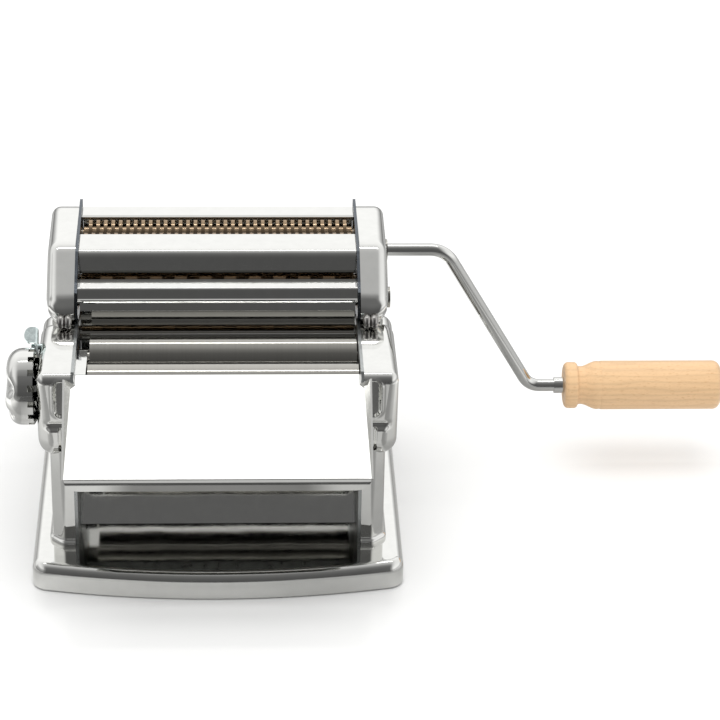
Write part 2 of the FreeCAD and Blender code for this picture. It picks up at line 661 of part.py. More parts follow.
def make_side_covers():
    """Deep drawn covers over each side's works, open towards the side plates."""
    middle = value("(cover_bottom + cover_top) / 2")
    front = value("cover_front") + 3
    rear = value("cover_rear") - 3

    def lower_corner(edge):
        return along(edge, X_AXIS) and edge.Vertexes[0].Z < middle

    def upper_corner(edge):
        point = edge.Vertexes[0].Point
        return along(edge, X_AXIS) and point.z > middle and (point.y < front or point.y > rear)

    blocks = []
    for label, inset in (("side_cover_block", "0"), ("side_cover_cavity", "sheet")):
        fillets = [(lower_corner, f"cover_bottom_corner - {inset}"),
                   (upper_corner, f"cover_corner - {inset}")]
        length = f"cover_half - ({PLATE_OUT}) - {inset}"
        face_round = f"cover_round - {inset}"
        blocks.append(rounded_block(label, cover_outline(inset), PLATE_OUT, length, fillets, face_round))
    right = cut("side_cover_shell", *blocks)
    left = mirror_image(right, "side_cover_image")
    screw_holes = [(y, z, "screw_radius + running_gap") for y, z in COVER_SCREWS]
    drive_hole = (PINION_Y, PINION_Z, "drive_radius + 0.6")
    drilled("side_cover_right", right, screw_holes + [drive_hole], RIGHT, "cover_half")
    works = [(DIAL_Y, DIAL_Z, "dial_shaft_radius + 1.5"), ("lever_y", "lever_z", "lever_pin + joint_gap")]
    drilled("side_cover_left", left, screw_holes + works, LEFT, "cover_half")


COVER_SCREWS = (("roller_y - 7.2", "roller_height - 21.5"),)


def make_cover_screws():
    """Screws through the covers into pillars that stand on the side plates."""
    screws, pillars = [], []
    for side, name in SIDES:
        for i, (y, z) in enumerate(COVER_SCREWS):
            out = "cover_half"
            start, end = mirrored(side, f"{out} - cover_screw_length", out)
            head0, head1 = mirrored(side, out, f"{out} + screw_head_height")
            shank = bar(f"cover_screw_{name}{i}_shank", "screw_radius", start, end, y, z)
            head = bar(f"cover_screw_{name}{i}_head", "screw_head", head0, head1, y, z)
            screws.append(fuse(f"cover_screw_{name}{i}", [shank, head]))
            low, high = mirrored(side, PLATE_OUT, "cover_half - sheet")
            post_bar = bar(f"pillar_{name}{i}_bar", "screw_radius + pillar_wall", low, high, y, z)
            hole = bar(f"pillar_{name}{i}_hole", "screw_radius", start, end, y, z)
            pillars.append(cut(f"pillar_{name}{i}", post_bar, hole))
    group("cover_screws", screws)
    group("cover_pillars", pillars)


def make_leg_fasteners():
    """Screws from under the base up through the foot tabs, with nuts on top."""
    fasteners = []
    for side, name in SIDES:
        for i, y in enumerate(LEG_SCREWS):
            x = f"{side} * ({LEG_SCREW_X})"
            top = "base_height + plate_wall + leg_screw_rise"
            shank = post(f"leg_screw_{name}{i}_shank", "screw_radius", x, y, UNDER_TOP, top)
            head = post(f"leg_screw_{name}{i}_head", "screw_head", x, y,
                        f"{UNDER_TOP} - screw_head_height", UNDER_TOP)
            fasteners.append(fuse(f"leg_screw_{name}{i}", [shank, head]))
            nut = doc.addObject("Part::Prism", f"leg_nut_{name}{i}_body")
            nut.Polygon = 6
            bind(nut, "Circumradius", "leg_nut_radius")
            bind(nut, "Height", "leg_nut_height")
            bind(nut, "Placement.Base.x", x)
            bind(nut, "Placement.Base.y", y)
            bind(nut, "Placement.Base.z", "base_height + plate_wall")
            hole = post(f"leg_nut_{name}{i}_hole", "screw_radius", x, y, "base_height", top)
            fasteners.append(cut(f"leg_nut_{name}{i}", nut, hole))
    group("leg_fasteners", fasteners)


def make_tie_rods():
    """Shouldered rods that hold the side plates apart, and their nuts."""
    rods, nuts = [], []
    for i, (y, z) in enumerate(TIES):
        middle = bar(f"tie_{i}_middle", "tie_radius", "-inner_half", "inner_half", y, z)
        ends = bar(f"tie_{i}_ends", "tie_radius - tie_shoulder", f"-({PLATE_OUT} + nut_height + 1)",
                   f"{PLATE_OUT} + nut_height + 1", y, z)
        rods.append(fuse(f"tie_{i}", [middle, ends]))
        for side, name in SIDES:
            nut = doc.addObject("Part::Prism", f"tie_nut_{name}{i}_body")
            nut.Polygon = 6
            nut.Placement = FreeCAD.Placement(V(0, 0, 0), FreeCAD.Rotation(V(0, 1, 0), 90))
            bind(nut, "Circumradius", "nut_radius")
            bind(nut, "Height", "nut_height")
            start, end = mirrored(side, PLATE_OUT, f"{PLATE_OUT} + nut_height")
            bind(nut, "Placement.Base.x", start)
            bind(nut, "Placement.Base.y", y)
            bind(nut, "Placement.Base.z", z)
            hole = bar(f"tie_nut_{name}{i}_hole", "tie_radius - tie_shoulder", start, end, y, z)
            nuts.append(cut(f"tie_nut_{name}{i}", nut, hole))
    group("tie_rods", rods)
    group("tie_nuts", nuts)


def make_chute_and_panel():
    """Sloping chute under the rollers, and the upright rear panel behind it."""
    run = "chute_length * cos(chute_slope)"
    rise = "chute_length * sin(chute_slope)"
    across = "thin_sheet / sin(chute_slope)"
    foot_z = "base_height + slide_gap"
    chute = [("chute_foot", foot_z), (f"chute_foot + {across}", foot_z),
             (f"chute_foot + {across} + {run}", f"{foot_z} + {rise}"),
             (f"chute_foot + {run}", f"{foot_z} + {rise}")]
    flat_part("chute_plate", "YZ_Plane", "slide_gap - inner_half", "2 * inner_half - 2 * slide_gap",
              lambda s: outline(s, chute))
    flat_part("rear_panel", "YZ_Plane", "slide_gap - inner_half", "2 * inner_half - 2 * slide_gap",
              lambda s: rectangle(s, "leg_rear - sheet - thin_sheet", "leg_rear - sheet",
                                  "base_height + slide_gap", "base_height + panel_height"))


# Smooth rollers, their bearings and gears

def bush(name, side, bore, y, z, plate_in, plate_out, length):
    """Flanged plain bush pressed into a plate, its flange outside."""
    low, high = mirrored(side, plate_in, f"{plate_in} + {length}")
    flange0, flange1 = mirrored(side, plate_out, f"{plate_out} + bush_flange")
    sleeve = bar(name + "_sleeve", f"{bore} + bush_wall", low, high, y, z)
    flange = bar(name + "_flange", f"{bore} + bush_wall + bush_lip", flange0, flange1, y, z)
    hole0, hole1 = mirrored(side, f"{plate_in} - 1", f"{plate_in} + {length} + 1")
    hole = bar(name + "_hole", f"{bore} + running_gap", hole0, hole1, y, z)
    return cut(name, fuse(name + "_solid", [sleeve, flange]), hole)


def make_body_bushes():
    """Bushes of the rear roller and of the drive shaft, in the side plates."""
    parts = [bush(f"roller_bush_{name}", side, "journal", "roller_y", "roller_height",
                  "inner_half", PLATE_OUT, "roller_bush_length") for side, name in SIDES]
    parts.append(bush("drive_bush", RIGHT, "drive_radius", PINION_Y, PINION_Z, "inner_half", PLATE_OUT,
                      "drive_bush_length"))
    group("body_bushes", parts)


def make_rollers():
    """Two plain steel rollers. The left ends are turned down behind the end guide."""
    for label, y in (("rear_roller", "roller_y"), ("front_roller", FRONT_ROLLER_Y)):
        face = bar(label + "_face", "roller_radius", "roller_left", "roller_right", y, "roller_height")
        out = "gear_start + gear_width"
        shaft = bar(label + "_shaft", "journal", f"-({PLATE_OUT} + 5.6)" if label == "rear_roller"
                    else "-(block_out - 3.4)", out, y, "roller_height")
        node(fuse(label, [face, shaft]), label)


def involute_gear(teeth, module, tip, root, thickness, bore):
    """Gear outline in its own plane: involute flanks of a 20 degree gear, thinned for backlash."""
    pitch = module * teeth / 2
    base = pitch * math.cos(math.radians(20))
    inv = math.tan(math.radians(20)) - math.radians(20)
    half = thickness / (2 * pitch) + inv
    steps = 6
    low = max(base, root)
    flank = []
    for i in range(steps + 1):
        radius = low + (tip - low) * i / steps
        roll = math.sqrt(max((radius / base) ** 2 - 1, 0))
        flank.append((radius, half - (roll - math.atan(roll))))
    root_half = flank[0][1]
    edges = []

    def at(radius, angle):
        return V(radius * math.cos(angle), radius * math.sin(angle), 0)

    for tooth in range(teeth):
        middle = 2 * math.pi * tooth / teeth
        right = [at(r, middle - a) for r, a in flank]
        left = [at(r, middle + a) for r, a in reversed(flank)]
        start = at(root, middle - root_half)
        stop = at(root, middle + root_half)
        if low > root + 1e-6:
            edges.append(Part.LineSegment(start, right[0]).toShape())
        side = Part.BSplineCurve()
        side.interpolate(right)
        edges.append(side.toShape())
        edges.append(Part.Arc(right[-1], at(tip, middle), left[0]).toShape())
        side = Part.BSplineCurve()
        side.interpolate(left)
        edges.append(side.toShape())
        if low > root + 1e-6:
            edges.append(Part.LineSegment(left[-1], stop).toShape())
        following = middle + 2 * math.pi / teeth
        valley = at(root, middle + math.pi / teeth)
        edges.append(Part.Arc(stop, valley, at(root, following - root_half)).toShape())
    rim = Part.Wire(edges)
    hole = Part.Wire([Part.Circle(V(0, 0, 0), V(0, 0, 1), bore).toShape()])
    return Part.makeFace([rim, hole], "Part::FaceMakerBullseye")


def make_gear(label, gear, turn, start, width, y, z):
    """Pads a gear outline along X from start, its axis at y and z. turn aims its first tooth, in degrees."""
    face = involute_gear(*gear)
    # A third of a turn about the space diagonal takes x to +Y, y to +Z and z to +X
    upright = FreeCAD.Rotation(V(1, 1, 1), 120).multiply(FreeCAD.Rotation(V(0, 0, 1), turn))
    thing = solid(label, face.extrude(V(0, 0, value(width))), FreeCAD.Placement(V(0, 0, 0), upright))
    bind(thing, "Placement.Base.x", start)
    bind(thing, "Placement.Base.y", y)
    bind(thing, "Placement.Base.z", z)
    return thing


def facing_turn(own_teeth, other_teeth, other_turn, direction):
    """Direction of a gear's first tooth that puts it in mesh.

    direction is the angle from the other gear's centre to this one's.
    """
    other_pitch = 360 / other_teeth
    offset = (other_turn - direction + other_pitch / 2) % other_pitch - other_pitch / 2
    own_offset = -offset * other_teeth / own_teeth
    return direction + 180 + own_offset + 180 / own_teeth


def make_roller_gears():
    """Long toothed gears keep the rollers in step at every gap, and a pinion drives them."""
    teeth = int(value("gear_teeth"))
    small = int(value("pinion_teeth"))
    module = value(GEAR_MODULE)
    pitch = module * teeth / 2
    closest = value("2 * roller_radius + roller_gap - roller_travel")
    addendum = value("gear_addendum")
    tip = pitch + addendum
    root = closest - tip - value("gear_root_gap")
    thickness = math.pi * module / 2 - value("gear_thinning")
    front_turn = 0
    rear_turn = facing_turn(teeth, teeth, front_turn, 0)
    large = (teeth, module, tip, root, thickness, value("journal"))
    for label, turn, y in (("front_roller_gear", front_turn, FRONT_ROLLER_Y),
                           ("rear_roller_gear", rear_turn, "roller_y")):
        make_gear(label, large, turn, "gear_start", "gear_width", y, "roller_height")
    direction = math.degrees(math.atan2(-value("pinion_drop"), value(PINION_Y) - value("roller_y")))
    pinion_turn = facing_turn(small, teeth, rear_turn, direction)
    small_pitch = module * small / 2
    pinion = (small, module, small_pitch + addendum, small_pitch - value("pinion_root"),
              thickness - value("pinion_thinning"), value("drive_radius"))
    make_gear("drive_pinion", pinion, pinion_turn, "gear_start", "gear_width", PINION_Y, PINION_Z)


def socket_tools(name, end, y, z):
    """Round bore with a narrow slot at its bottom, cut in from a shaft's right end."""
    bore = bar(name + "_bore", "socket_radius", f"{end} - socket_depth", f"{end} + 1", y, z)
    slot = box(name + "_slot", f"{end} - socket_depth - socket_key", f"{end} - socket_depth",
               f"{y} - key_width / 2", f"{y} + key_width / 2",
               f"{z} - socket_radius + key_step", f"{z} + socket_radius - key_step")
    return fuse(name, [bore, slot])


def make_drive_shaft():
    shaft = bar("drive_shaft_bar", "drive_radius", "inner_half + slide_gap", "drive_end", PINION_Y, PINION_Z)
    tool = socket_tools("drive_socket", "drive_end", PINION_Y, PINION_Z)
    node(cut("drive_shaft", shaft, tool), "drive_shaft")


# The thickness adjustment: sliding carriage, dial and lock lever

def make_bearing_block(side, name):
    """Block that slides in the side plate's window and carries one end of the front roller."""
    label = "bearing_block_" + name
    body = doc.addObject("PartDesign::Body", label)
    reverse = side == LEFT
    front = f"{FRONT_ROLLER_Y} - block_depth / 2"
    rear = f"{FRONT_ROLLER_Y} + block_depth / 2"
    low = "roller_height - block_down"
    high = "roller_height + block_up"
    neck = new_sketch(body, "YZ_Plane", f"{side} * (inner_half + slide_gap)")
    rectangle(neck, front, rear, low, high)
    circle(neck, FRONT_ROLLER_Y, "roller_height", "journal + running_gap")
    pad(body, neck, "plate_wall", reverse)
    outer = new_sketch(body, "YZ_Plane", f"{side} * ({PLATE_OUT} + slide_gap)")
    rectangle(outer, front, rear, f"{low} - block_lip", f"{high} + block_lip")
    circle(outer, FRONT_ROLLER_Y, "roller_height", "journal + running_gap")
    depth = f"block_out - yoke_depth - ({PLATE_OUT}) - slide_gap"
    pad(body, outer, depth if side == LEFT else f"{depth} + yoke_depth", reverse)
    if side == LEFT:
        slot = new_sketch(body, "YZ_Plane", "-(block_out - yoke_depth)")
        rectangle(slot, front, rear, f"{low} - block_lip", f"{high} + block_lip")
        reach = "eccentric_radius + eccentric_throw + slide_gap + 1"
        half = "eccentric_radius + 2 * slide_gap"
        middle = f"{DIAL_Y} - roller_travel / 2"
        rectangle(slot, f"{middle} - ({half})", f"{middle} + {half}",
                  f"{DIAL_Z} - ({reach})", f"{DIAL_Z} + {reach}")
        pad(body, slot, "yoke_depth", True)
    node(body, label)


def make_carriage_bar():
    """Bar under the front roller that ties the two bearing blocks together."""
    low = "roller_height - block_down"
    node(box("carriage_bar", "-(inner_half + slide_gap)", "inner_half + slide_gap",
             f"{FRONT_ROLLER_Y} - bar_depth / 2", f"{FRONT_ROLLER_Y} + bar_depth / 2",
             f"{low} + 0.5", f"{low} + 0.5 + bar_height"), "carriage_bar")


BRACKET_IN = "block_out + slide_gap + 0.5"


def make_dial_bracket():
    """Bridge over the left bearing block that carries the dial shaft, on a stand-off at either end."""
    body = doc.addObject("PartDesign::Body", "dial_bracket")
    reach = "block_depth / 2 + stand_off + slide_gap + 1"
    front = f"{FRONT_ROLLER_Y} - ({reach})"
    rear = f"{FRONT_ROLLER_Y} + roller_travel + {reach}"
    sketch = new_sketch(body, "YZ_Plane", f"-({BRACKET_IN})")
    rectangle(sketch, f"{front} - stand_off", f"{rear} + stand_off",
              f"{DIAL_Z} - bracket_half", f"{DIAL_Z} + bracket_half")
    circle(sketch, DIAL_Y, DIAL_Z, "dial_shaft_radius + running_gap")
    pad(body, sketch, "bracket_wall", True)
    for y in (front, rear):
        post_sketch = new_sketch(body, "YZ_Plane", f"-({PLATE_OUT})")
        circle(post_sketch, y, DIAL_Z, "stand_off")
        pad(body, post_sketch, f"{BRACKET_IN} - ({PLATE_OUT})", True)
    node(body, "dial_bracket")


def make_dial_shaft():
    """Dial shaft with its eccentric, which moves the left block in the manner of a crank and yoke."""
    shaft = bar("dial_shaft_bar", "dial_shaft_radius", "dial_outer + dial_floor", f"-({BRACKET_IN} - 0.5)",
                DIAL_Y, DIAL_Z)
    disc = bar("dial_shaft_disc", "eccentric_radius", "-block_out", "-(block_out - yoke_depth + 0.2)",
               f"{DIAL_Y} - roller_travel / 2", f"{DIAL_Z} + sqrt(eccentric_throw^2 - (roller_travel / 2)^2)")
    neck = bar("dial_shaft_neck", "eccentric_radius - 1.5", f"-({BRACKET_IN} - 0.4)", "-(block_out - 0.5)",
               DIAL_Y, DIAL_Z)
    node(fuse("dial_shaft", [shaft, disc, neck]), "dial_shaft")


def make_dial():
    """Domed dial with a crown of square notches round its inner rim."""
    body = doc.addObject("PartDesign::Body", "dial_knob")
    sketch = new_sketch(body, "YZ_Plane", "dial_inner")
    circle(sketch, "0", "0", "dial_radius")
    disc = pad(body, sketch, "dial_inner - dial_outer", True)
    doc.recompute()
    outer = value("dial_outer")
    disc = fillet(body, disc, lambda e: in_plane(e, "x", outer), "dial_dome")
    inside = new_sketch(body, "YZ_Plane", "dial_inner")
    circle(inside, "0", "0", "dial_radius - dial_wall")
    hollow_cut = body.newObject("PartDesign::Pocket", "dial_hollow")
    hollow_cut.Profile = inside
    hollow_cut.Reversed = False
    bind(hollow_cut, "Length", "dial_inner - dial_outer - dial_floor")
    doc.recompute()
    notch = new_sketch(body, "XY_Plane", "dial_radius + 1")
    rectangle(notch, "dial_inner - notch_depth", "dial_inner + 1", "-notch_width / 2", "notch_width / 2")
    bite = body.newObject("PartDesign::Pocket", "dial_notch")
    bite.Profile = notch
    bind(bite, "Length", "dial_wall + 3")
    doc.recompute()
    crown = body.newObject("PartDesign::PolarPattern", "dial_crown")
    crown.Originals = [bite]
    crown.Axis = (origin_feature(body, "X_Axis"), [""])
    crown.Angle = 360
    bind(crown, "Occurrences", "dial_notches")
    body.Tip = crown
    hub = new_sketch(body, "YZ_Plane", "dial_inner")
    circle(hub, "0", "0", "dial_shaft_radius + 3")
    circle(hub, "0", "0", "dial_shaft_radius")
    pad(body, hub, "dial_inner - dial_outer - dial_floor", True)
    angle = math.degrees(math.atan2(value("lever_z") - value(DIAL_Z), value("lever_y") - value(DIAL_Y)))
    body.Placement = FreeCAD.Placement(V(0, 0, 0), FreeCAD.Rotation(X_AXIS, angle - 90))
    bind(body, "Placement.Base.y", DIAL_Y)
    bind(body, "Placement.Base.z", DIAL_Z)
    node(body, "dial_knob")


def make_lock_lever():
    """Sheet lever with a thumb tab turned outwards and a nose beside the dial's notches."""
    body = doc.addObject("PartDesign::Body", "lock_lever")
    inner = "lever_outer + lever_wall"
    sketch = new_sketch(body, "YZ_Plane", inner)
    outline(sketch, [("lever_y - 8", "lever_z - 4"), ("lever_y + 3", "lever_z - 4"),
                     ("lever_y + 5", "lever_z"), ("lever_y + 5", "lever_z + 9"),
                     ("lever_y - 3", "lever_z + 9"),
                     ("lever_y - 4", "lever_z + 2"), ("lever_y - 8", "lever_z - 1.5")])
    circle(sketch, "lever_y", "lever_z", "lever_pin + running_gap")
    pad(body, sketch, "lever_wall", True)
    tab = new_sketch(body, "YZ_Plane", inner)
    rectangle(tab, "lever_y - 3", "lever_y + 5", "lever_z + 9 - lever_wall", "lever_z + 9")
    pad(body, tab, "lever_tab", True)
    node(body, "lock_lever")


def make_lever_pivot():
    """Headed pin on the left side plate that the lock lever tips on."""
    pin = bar("lever_pin_shank", "lever_pin", "lever_outer - 0.3", f"-({PLATE_OUT})", "lever_y", "lever_z")
    head = bar("lever_pin_head", "lever_pin + 0.9", "lever_outer - 2.6", "lever_outer - 0.3",
               "lever_y", "lever_z")
    node(fuse("lever_pivot", [pin, head]), "lever_pivot")


# Roller end guide, scrapers and tray studs

def make_small_fittings():
    """The end guide beside the rollers, and the studs that the tray hangs on."""
    node(box("roller_end_guide", "-inner_half", "roller_left - 0.6", "guide_front", "guide_rear",
             "roller_height + journal + 1", "guide_top"), "roller_end_guide")
    studs = []
    rise = "stud_radius / cos(tray_slope) + thin_sheet / cos(tray_slope) + 0.1"
    for side, name in SIDES:
        low, high = mirrored(side, "inner_half - stud_length", "inner_half")
        studs.append(bar(f"tray_stud_{name}", "stud_radius", low, high, "tray_back_y - 0.5",
                         f"tray_back_z - 0.5 * tan(tray_slope) - ({rise})"))
    group("tray_studs", studs)


def make_scrapers():
    """Thin blades along the underside of each roller, which keep dough from going round."""
    blades = []
    for name, y, lean in (("rear", "roller_y", 1), ("front", FRONT_ROLLER_Y, -1)):
        tip_y = f"{y} + {lean} * scraper_lead"
        tip_z = "roller_height - roller_radius - joint_gap - 0.1"
        foot_y = f"{y} + {lean} * scraper_reach"
        points = [(tip_y, tip_z), (foot_y, f"{tip_z} - scraper_drop"),
                  (foot_y, f"{tip_z} - scraper_drop - thin_sheet"), (tip_y, f"{tip_z} - thin_sheet")]
        body = doc.addObject("PartDesign::Body", "scraper_" + name)
        sketch = new_sketch(body, "YZ_Plane", "-inner_half")
        outline(sketch, points if lean > 0 else points[::-1])
        pad(body, sketch, "2 * inner_half")
        blades.append(body)
    group("scrapers", blades)


# Dough tray

def tray_point(x, down, up):
    """A point of the tray: across, down its slope from the back edge, and square to it."""
    slope = math.radians(value("tray_slope"))
    y = value("tray_back_y") - down * math.cos(slope) - up * math.sin(slope)
    z = value("tray_back_z") - down * math.sin(slope) + up * math.cos(slope)
    return V(x, y, z)


def prism(points, push):
    """The flat face through some points, pushed along a vector."""
    return Part.Face(Part.makePolygon(points + points[:1])).extrude(push)


def make_tray():
    """Bent sheet: sloping floor, two leaning cheeks, a rolled front lip and two hanging gussets."""
    wall = value("thin_sheet")
    length = value("tray_length")
    tongue = value("tray_tongue")
    inner = value("tray_tongue_half")
    back = value("tray_back_half")
    front = value("tray_front_half")
    down = tray_point(0, 0, -wall) - tray_point(0, 0, 0)
    floor_points = [(-inner, 0), (inner, 0), (inner, tongue), (back, tongue),
                    (front, length), (-front, length), (-back, tongue), (-inner, tongue)]
    pieces = [prism([tray_point(x, d, 0) for x, d in floor_points], down)]
    height = value("cheek_height")
    lean = value("cheek_lean")
    for side in (LEFT, RIGHT):
        cheek = [tray_point(side * back, tongue, -wall), tray_point(side * front, length, -wall),
                 tray_point(side * (back + lean), tongue, height)]
        pieces.append(prism(cheek, V(-side * wall, 0, 0)))
        edge = value(f"{PLATE_OUT}")
        gusset = [tray_point(side * (edge + 0.2), tongue + 0.6, -wall / 2),
                  tray_point(side * (edge + 0.2), tongue + 22, -wall / 2)]
        foot = V(gusset[0].x, value("cover_front - joint_gap"), gusset[1].z + 2)
        top = V(gusset[0].x, value("cover_front - joint_gap"), gusset[0].z - 1.2)
        pieces.append(prism([gusset[0], gusset[1], foot, top], V(-side * wall, 0, 0)))
    slope = math.radians(value("tray_slope"))
    radius = value("lip_radius")
    turn = math.pi / 2 - slope
    centre = tray_point(0, length, -radius)
    inside = radius - wall

    def on_roll(r, angle):
        """A point of the roll: angle 0 is square to the floor, turning over the front."""
        return V(-front, centre.y - r * math.sin(slope + angle), centre.z + r * math.cos(slope + angle))

    lip = value("lip_drop")
    outer0, outer1, outer2 = (on_roll(radius, turn * k / 2) for k in (0, 1, 2))
    inner0, inner1, inner2 = (on_roll(inside, turn * k / 2) for k in (0, 1, 2))
    drop = V(0, 0, -lip)
    edges = [Part.Arc(outer0, outer1, outer2).toShape(), Part.LineSegment(outer2, outer2 + drop).toShape(),
             Part.LineSegment(outer2 + drop, inner2 + drop).toShape(),
             Part.LineSegment(inner2 + drop, inner2).toShape(), Part.Arc(inner2, inner1, inner0).toShape(),
             Part.LineSegment(inner0, outer0).toShape()]
    pieces.append(Part.Face(Part.Wire(edges)).extrude(V(2 * front, 0, 0)))
    shape = pieces[0].fuse(pieces[1:]).removeSplitter()
    solid("dough_tray", shape)


# Cutter attachment

def end_plate_outline():
    """Cutter end plate seen from the side, stepped like the hoods it closes."""
    seat = "cover_top - seat_drop + joint_gap"
    under = "cover_top + 1.2"
    rear = "cover_rear + joint_gap"
    front = "cover_nose + 4.8"
    return [(front, under), ("seat_front + 0.6", under), ("seat_front + 0.6", seat), (rear, seat),
            (rear, "hood_bottom - 4.5"), ("hood_rear + 0.9", "hood_bottom - 4.5"),
            ("hood_rear + 0.9", "deck_high + 3.2"), ("hood_rear - 3.6", "deck_high + 3.4"),
            (f"{WIDE_FRONT_Y} + 8.5", "deck_high + 1.6"), (f"{WIDE_FRONT_Y} - 8", "deck_low + 2"),
            (front, "deck_low - 1")]


CUTTER_PAIRS = (("fine", "cutter_y", FINE_REAR_Y, "cutter_z"), ("wide", WIDE_FRONT_Y, WIDE_REAR_Y, WIDE_Z))
CUTTER_AXES = (("cutter_y", "cutter_z"), (FINE_REAR_Y, "cutter_z"),
               (WIDE_REAR_Y, WIDE_Z), (WIDE_FRONT_Y, WIDE_Z))
CUTTER_TIES = ((f"{WIDE_REAR_Y} + 2.2", "deck_high - 5.4"), ("hood_rear - 3", "deck_high - 5.8"),
               (f"{WIDE_FRONT_Y} - ring_radius + 1", "deck_low - 2.9"), ("hood_rear - 4.1", "hood_bottom"))


def make_end_plate(side, name):
    def draw(sketch):
        outline(sketch, end_plate_outline())
        for y, z in CUTTER_AXES:
            circle(sketch, y, z, "cutter_shaft + cutter_bush_wall")
        for y, z in CUTTER_TIES:
            circle(sketch, y, z, "rod_slim - rod_step")
    flat_part("cutter_end_plate_" + name, "YZ_Plane", f"{side} * end_inner", "end_wall", draw, side == LEFT)


def end_cover_outline():
    """Cutter end cover seen from the side: a low nose, a sloping shoulder and a flat top."""
    seat = "cover_top - seat_drop + joint_gap"
    under = "cover_top + 1.4"
    rear = "cover_rear + joint_gap"
    return [("cover_nose", under), ("seat_front + 0.6", under), ("seat_front + 0.6", seat), (rear, seat),
            (rear, "end_bottom"), ("hood_rear + 4.4", "end_bottom"), ("hood_rear + 6.4", "cutter_z - 1"),
            ("hood_rear - 5.6", "deck_high + 3"), (f"{WIDE_FRONT_Y} + 12", "deck_high + 3.7"),
            ("cover_nose + 5", "cover_top + 14.5"), ("cover_nose", "cover_top + 8.5")]


def make_end_covers():
    seat = value("cover_top - seat_drop")
    rear = value("cover_rear")
    nose = value("cover_nose")

    def long_corner(edge):
        """Every long edge but the nose's and the two inside corners of the stepped underside."""
        point = edge.Vertexes[0].Point
        over_seat = nose + 4 < point.y < rear and seat + 3 < point.z < seat + 10
        over_rear = rear < point.y < rear + 4 and seat < point.z < seat + 10
        return along(edge, X_AXIS) and point.y > nose + 4 and not over_seat and not over_rear

    def nose_corner(edge):
        return along(edge, X_AXIS) and edge.Vertexes[0].Y < nose + 1

    fillets = [(long_corner, "end_cover_corner"), (nose_corner, "end_cover_nose")]
    length = f"end_cover_half - ({END_OUT})"
    right = rounded_block("end_cover_shell", end_cover_outline(), END_OUT, length, fillets, "end_cover_round")
    inner_x = value(END_OUT)
    hollow(right, right.Tip, lambda f: abs(f.CenterOfMass.x - inner_x) < 1e-4, "sheet")
    left = mirror_image(right, "end_cover_image")
    screw_holes = [(y, z, "end_screw_radius + running_gap") for y, z in END_COVER_SCREWS]
    driven = (("cutter_y", "cutter_z"), (WIDE_FRONT_Y, WIDE_Z))
    sockets = [(y, z, "cutter_socket_radius + 2 * joint_gap") for y, z in driven]
    drilled("cutter_end_cover_right", right, screw_holes + sockets, RIGHT, "end_cover_half")
    drilled("cutter_end_cover_left", left, screw_holes, LEFT, "end_cover_half")


END_COVER_SCREWS = (("cutter_y - 1", "end_bottom + end_screw_rise"),
                    ("hood_rear - end_screw_back", "cutter_z - 12"))


def make_end_cover_screws():
    screws, pillars = [], []
    for side, name in SIDES:
        for i, (y, z) in enumerate(END_COVER_SCREWS):
            out = "end_cover_half"
            start, end = mirrored(side, f"{out} - end_screw_length", out)
            head0, head1 = mirrored(side, out, f"{out} + end_screw_head_height")
            shank = bar(f"end_screw_{name}{i}_shank", "end_screw_radius", start, end, y, z)
            head = bar(f"end_screw_{name}{i}_head", "end_screw_head", head0, head1, y, z)
            screws.append(fuse(f"end_screw_{name}{i}", [shank, head]))
            low, high = mirrored(side, END_OUT, f"{out} - sheet")
            pillar = bar(f"end_pillar_{name}{i}_bar", "end_pillar_radius", low, high, y, z)
            hole = bar(f"end_pillar_{name}{i}_hole", "end_screw_radius", start, end, y, z)
            pillars.append(cut(f"end_pillar_{name}{i}", pillar, hole))
    group("cutter_screws", screws)
    group("cutter_pillars", pillars)


def make_cutter_rods():
    rods = []
    for i, (y, z) in enumerate(CUTTER_TIES):
        middle = bar(f"cutter_rod_{i}_middle", "rod_slim", "-end_inner", "end_inner", y, z)
        ends = bar(f"cutter_rod_{i}_ends", "rod_slim - rod_step", f"-({END_OUT} + 1)", f"{END_OUT} + 1", y, z)
        rods.append(fuse(f"cutter_rod_{i}", [middle, ends]))
    group("cutter_rods", rods)


def make_cutter_bushes():
    parts = []
    for side, name in SIDES:
        for i, (y, z) in enumerate(CUTTER_AXES):
            low, high = mirrored(side, "end_inner", f"{END_OUT} + cutter_bush_end")
            flange0, flange1 = mirrored(side, END_OUT, f"{END_OUT} + cutter_bush_flange")
            hole0, hole1 = mirrored(side, "end_inner - 1", f"{END_OUT} + cutter_bush_end + 1")
            label = f"cutter_bush_{name}{i}"
            radius = "cutter_shaft + cutter_bush_wall"
            sleeve = bar(label + "_sleeve", radius, low, high, y, z)
            flange = bar(label + "_flange", f"{radius} + cutter_bush_lip", flange0, flange1, y, z)
            hole = bar(label + "_hole", "cutter_shaft + running_gap", hole0, hole1, y, z)
            whole = fuse(f"cutter_bush_{name}{i}_solid", [sleeve, flange])
            parts.append(cut(f"cutter_bush_{name}{i}", whole, hole))
    group("cutter_bushes", parts)


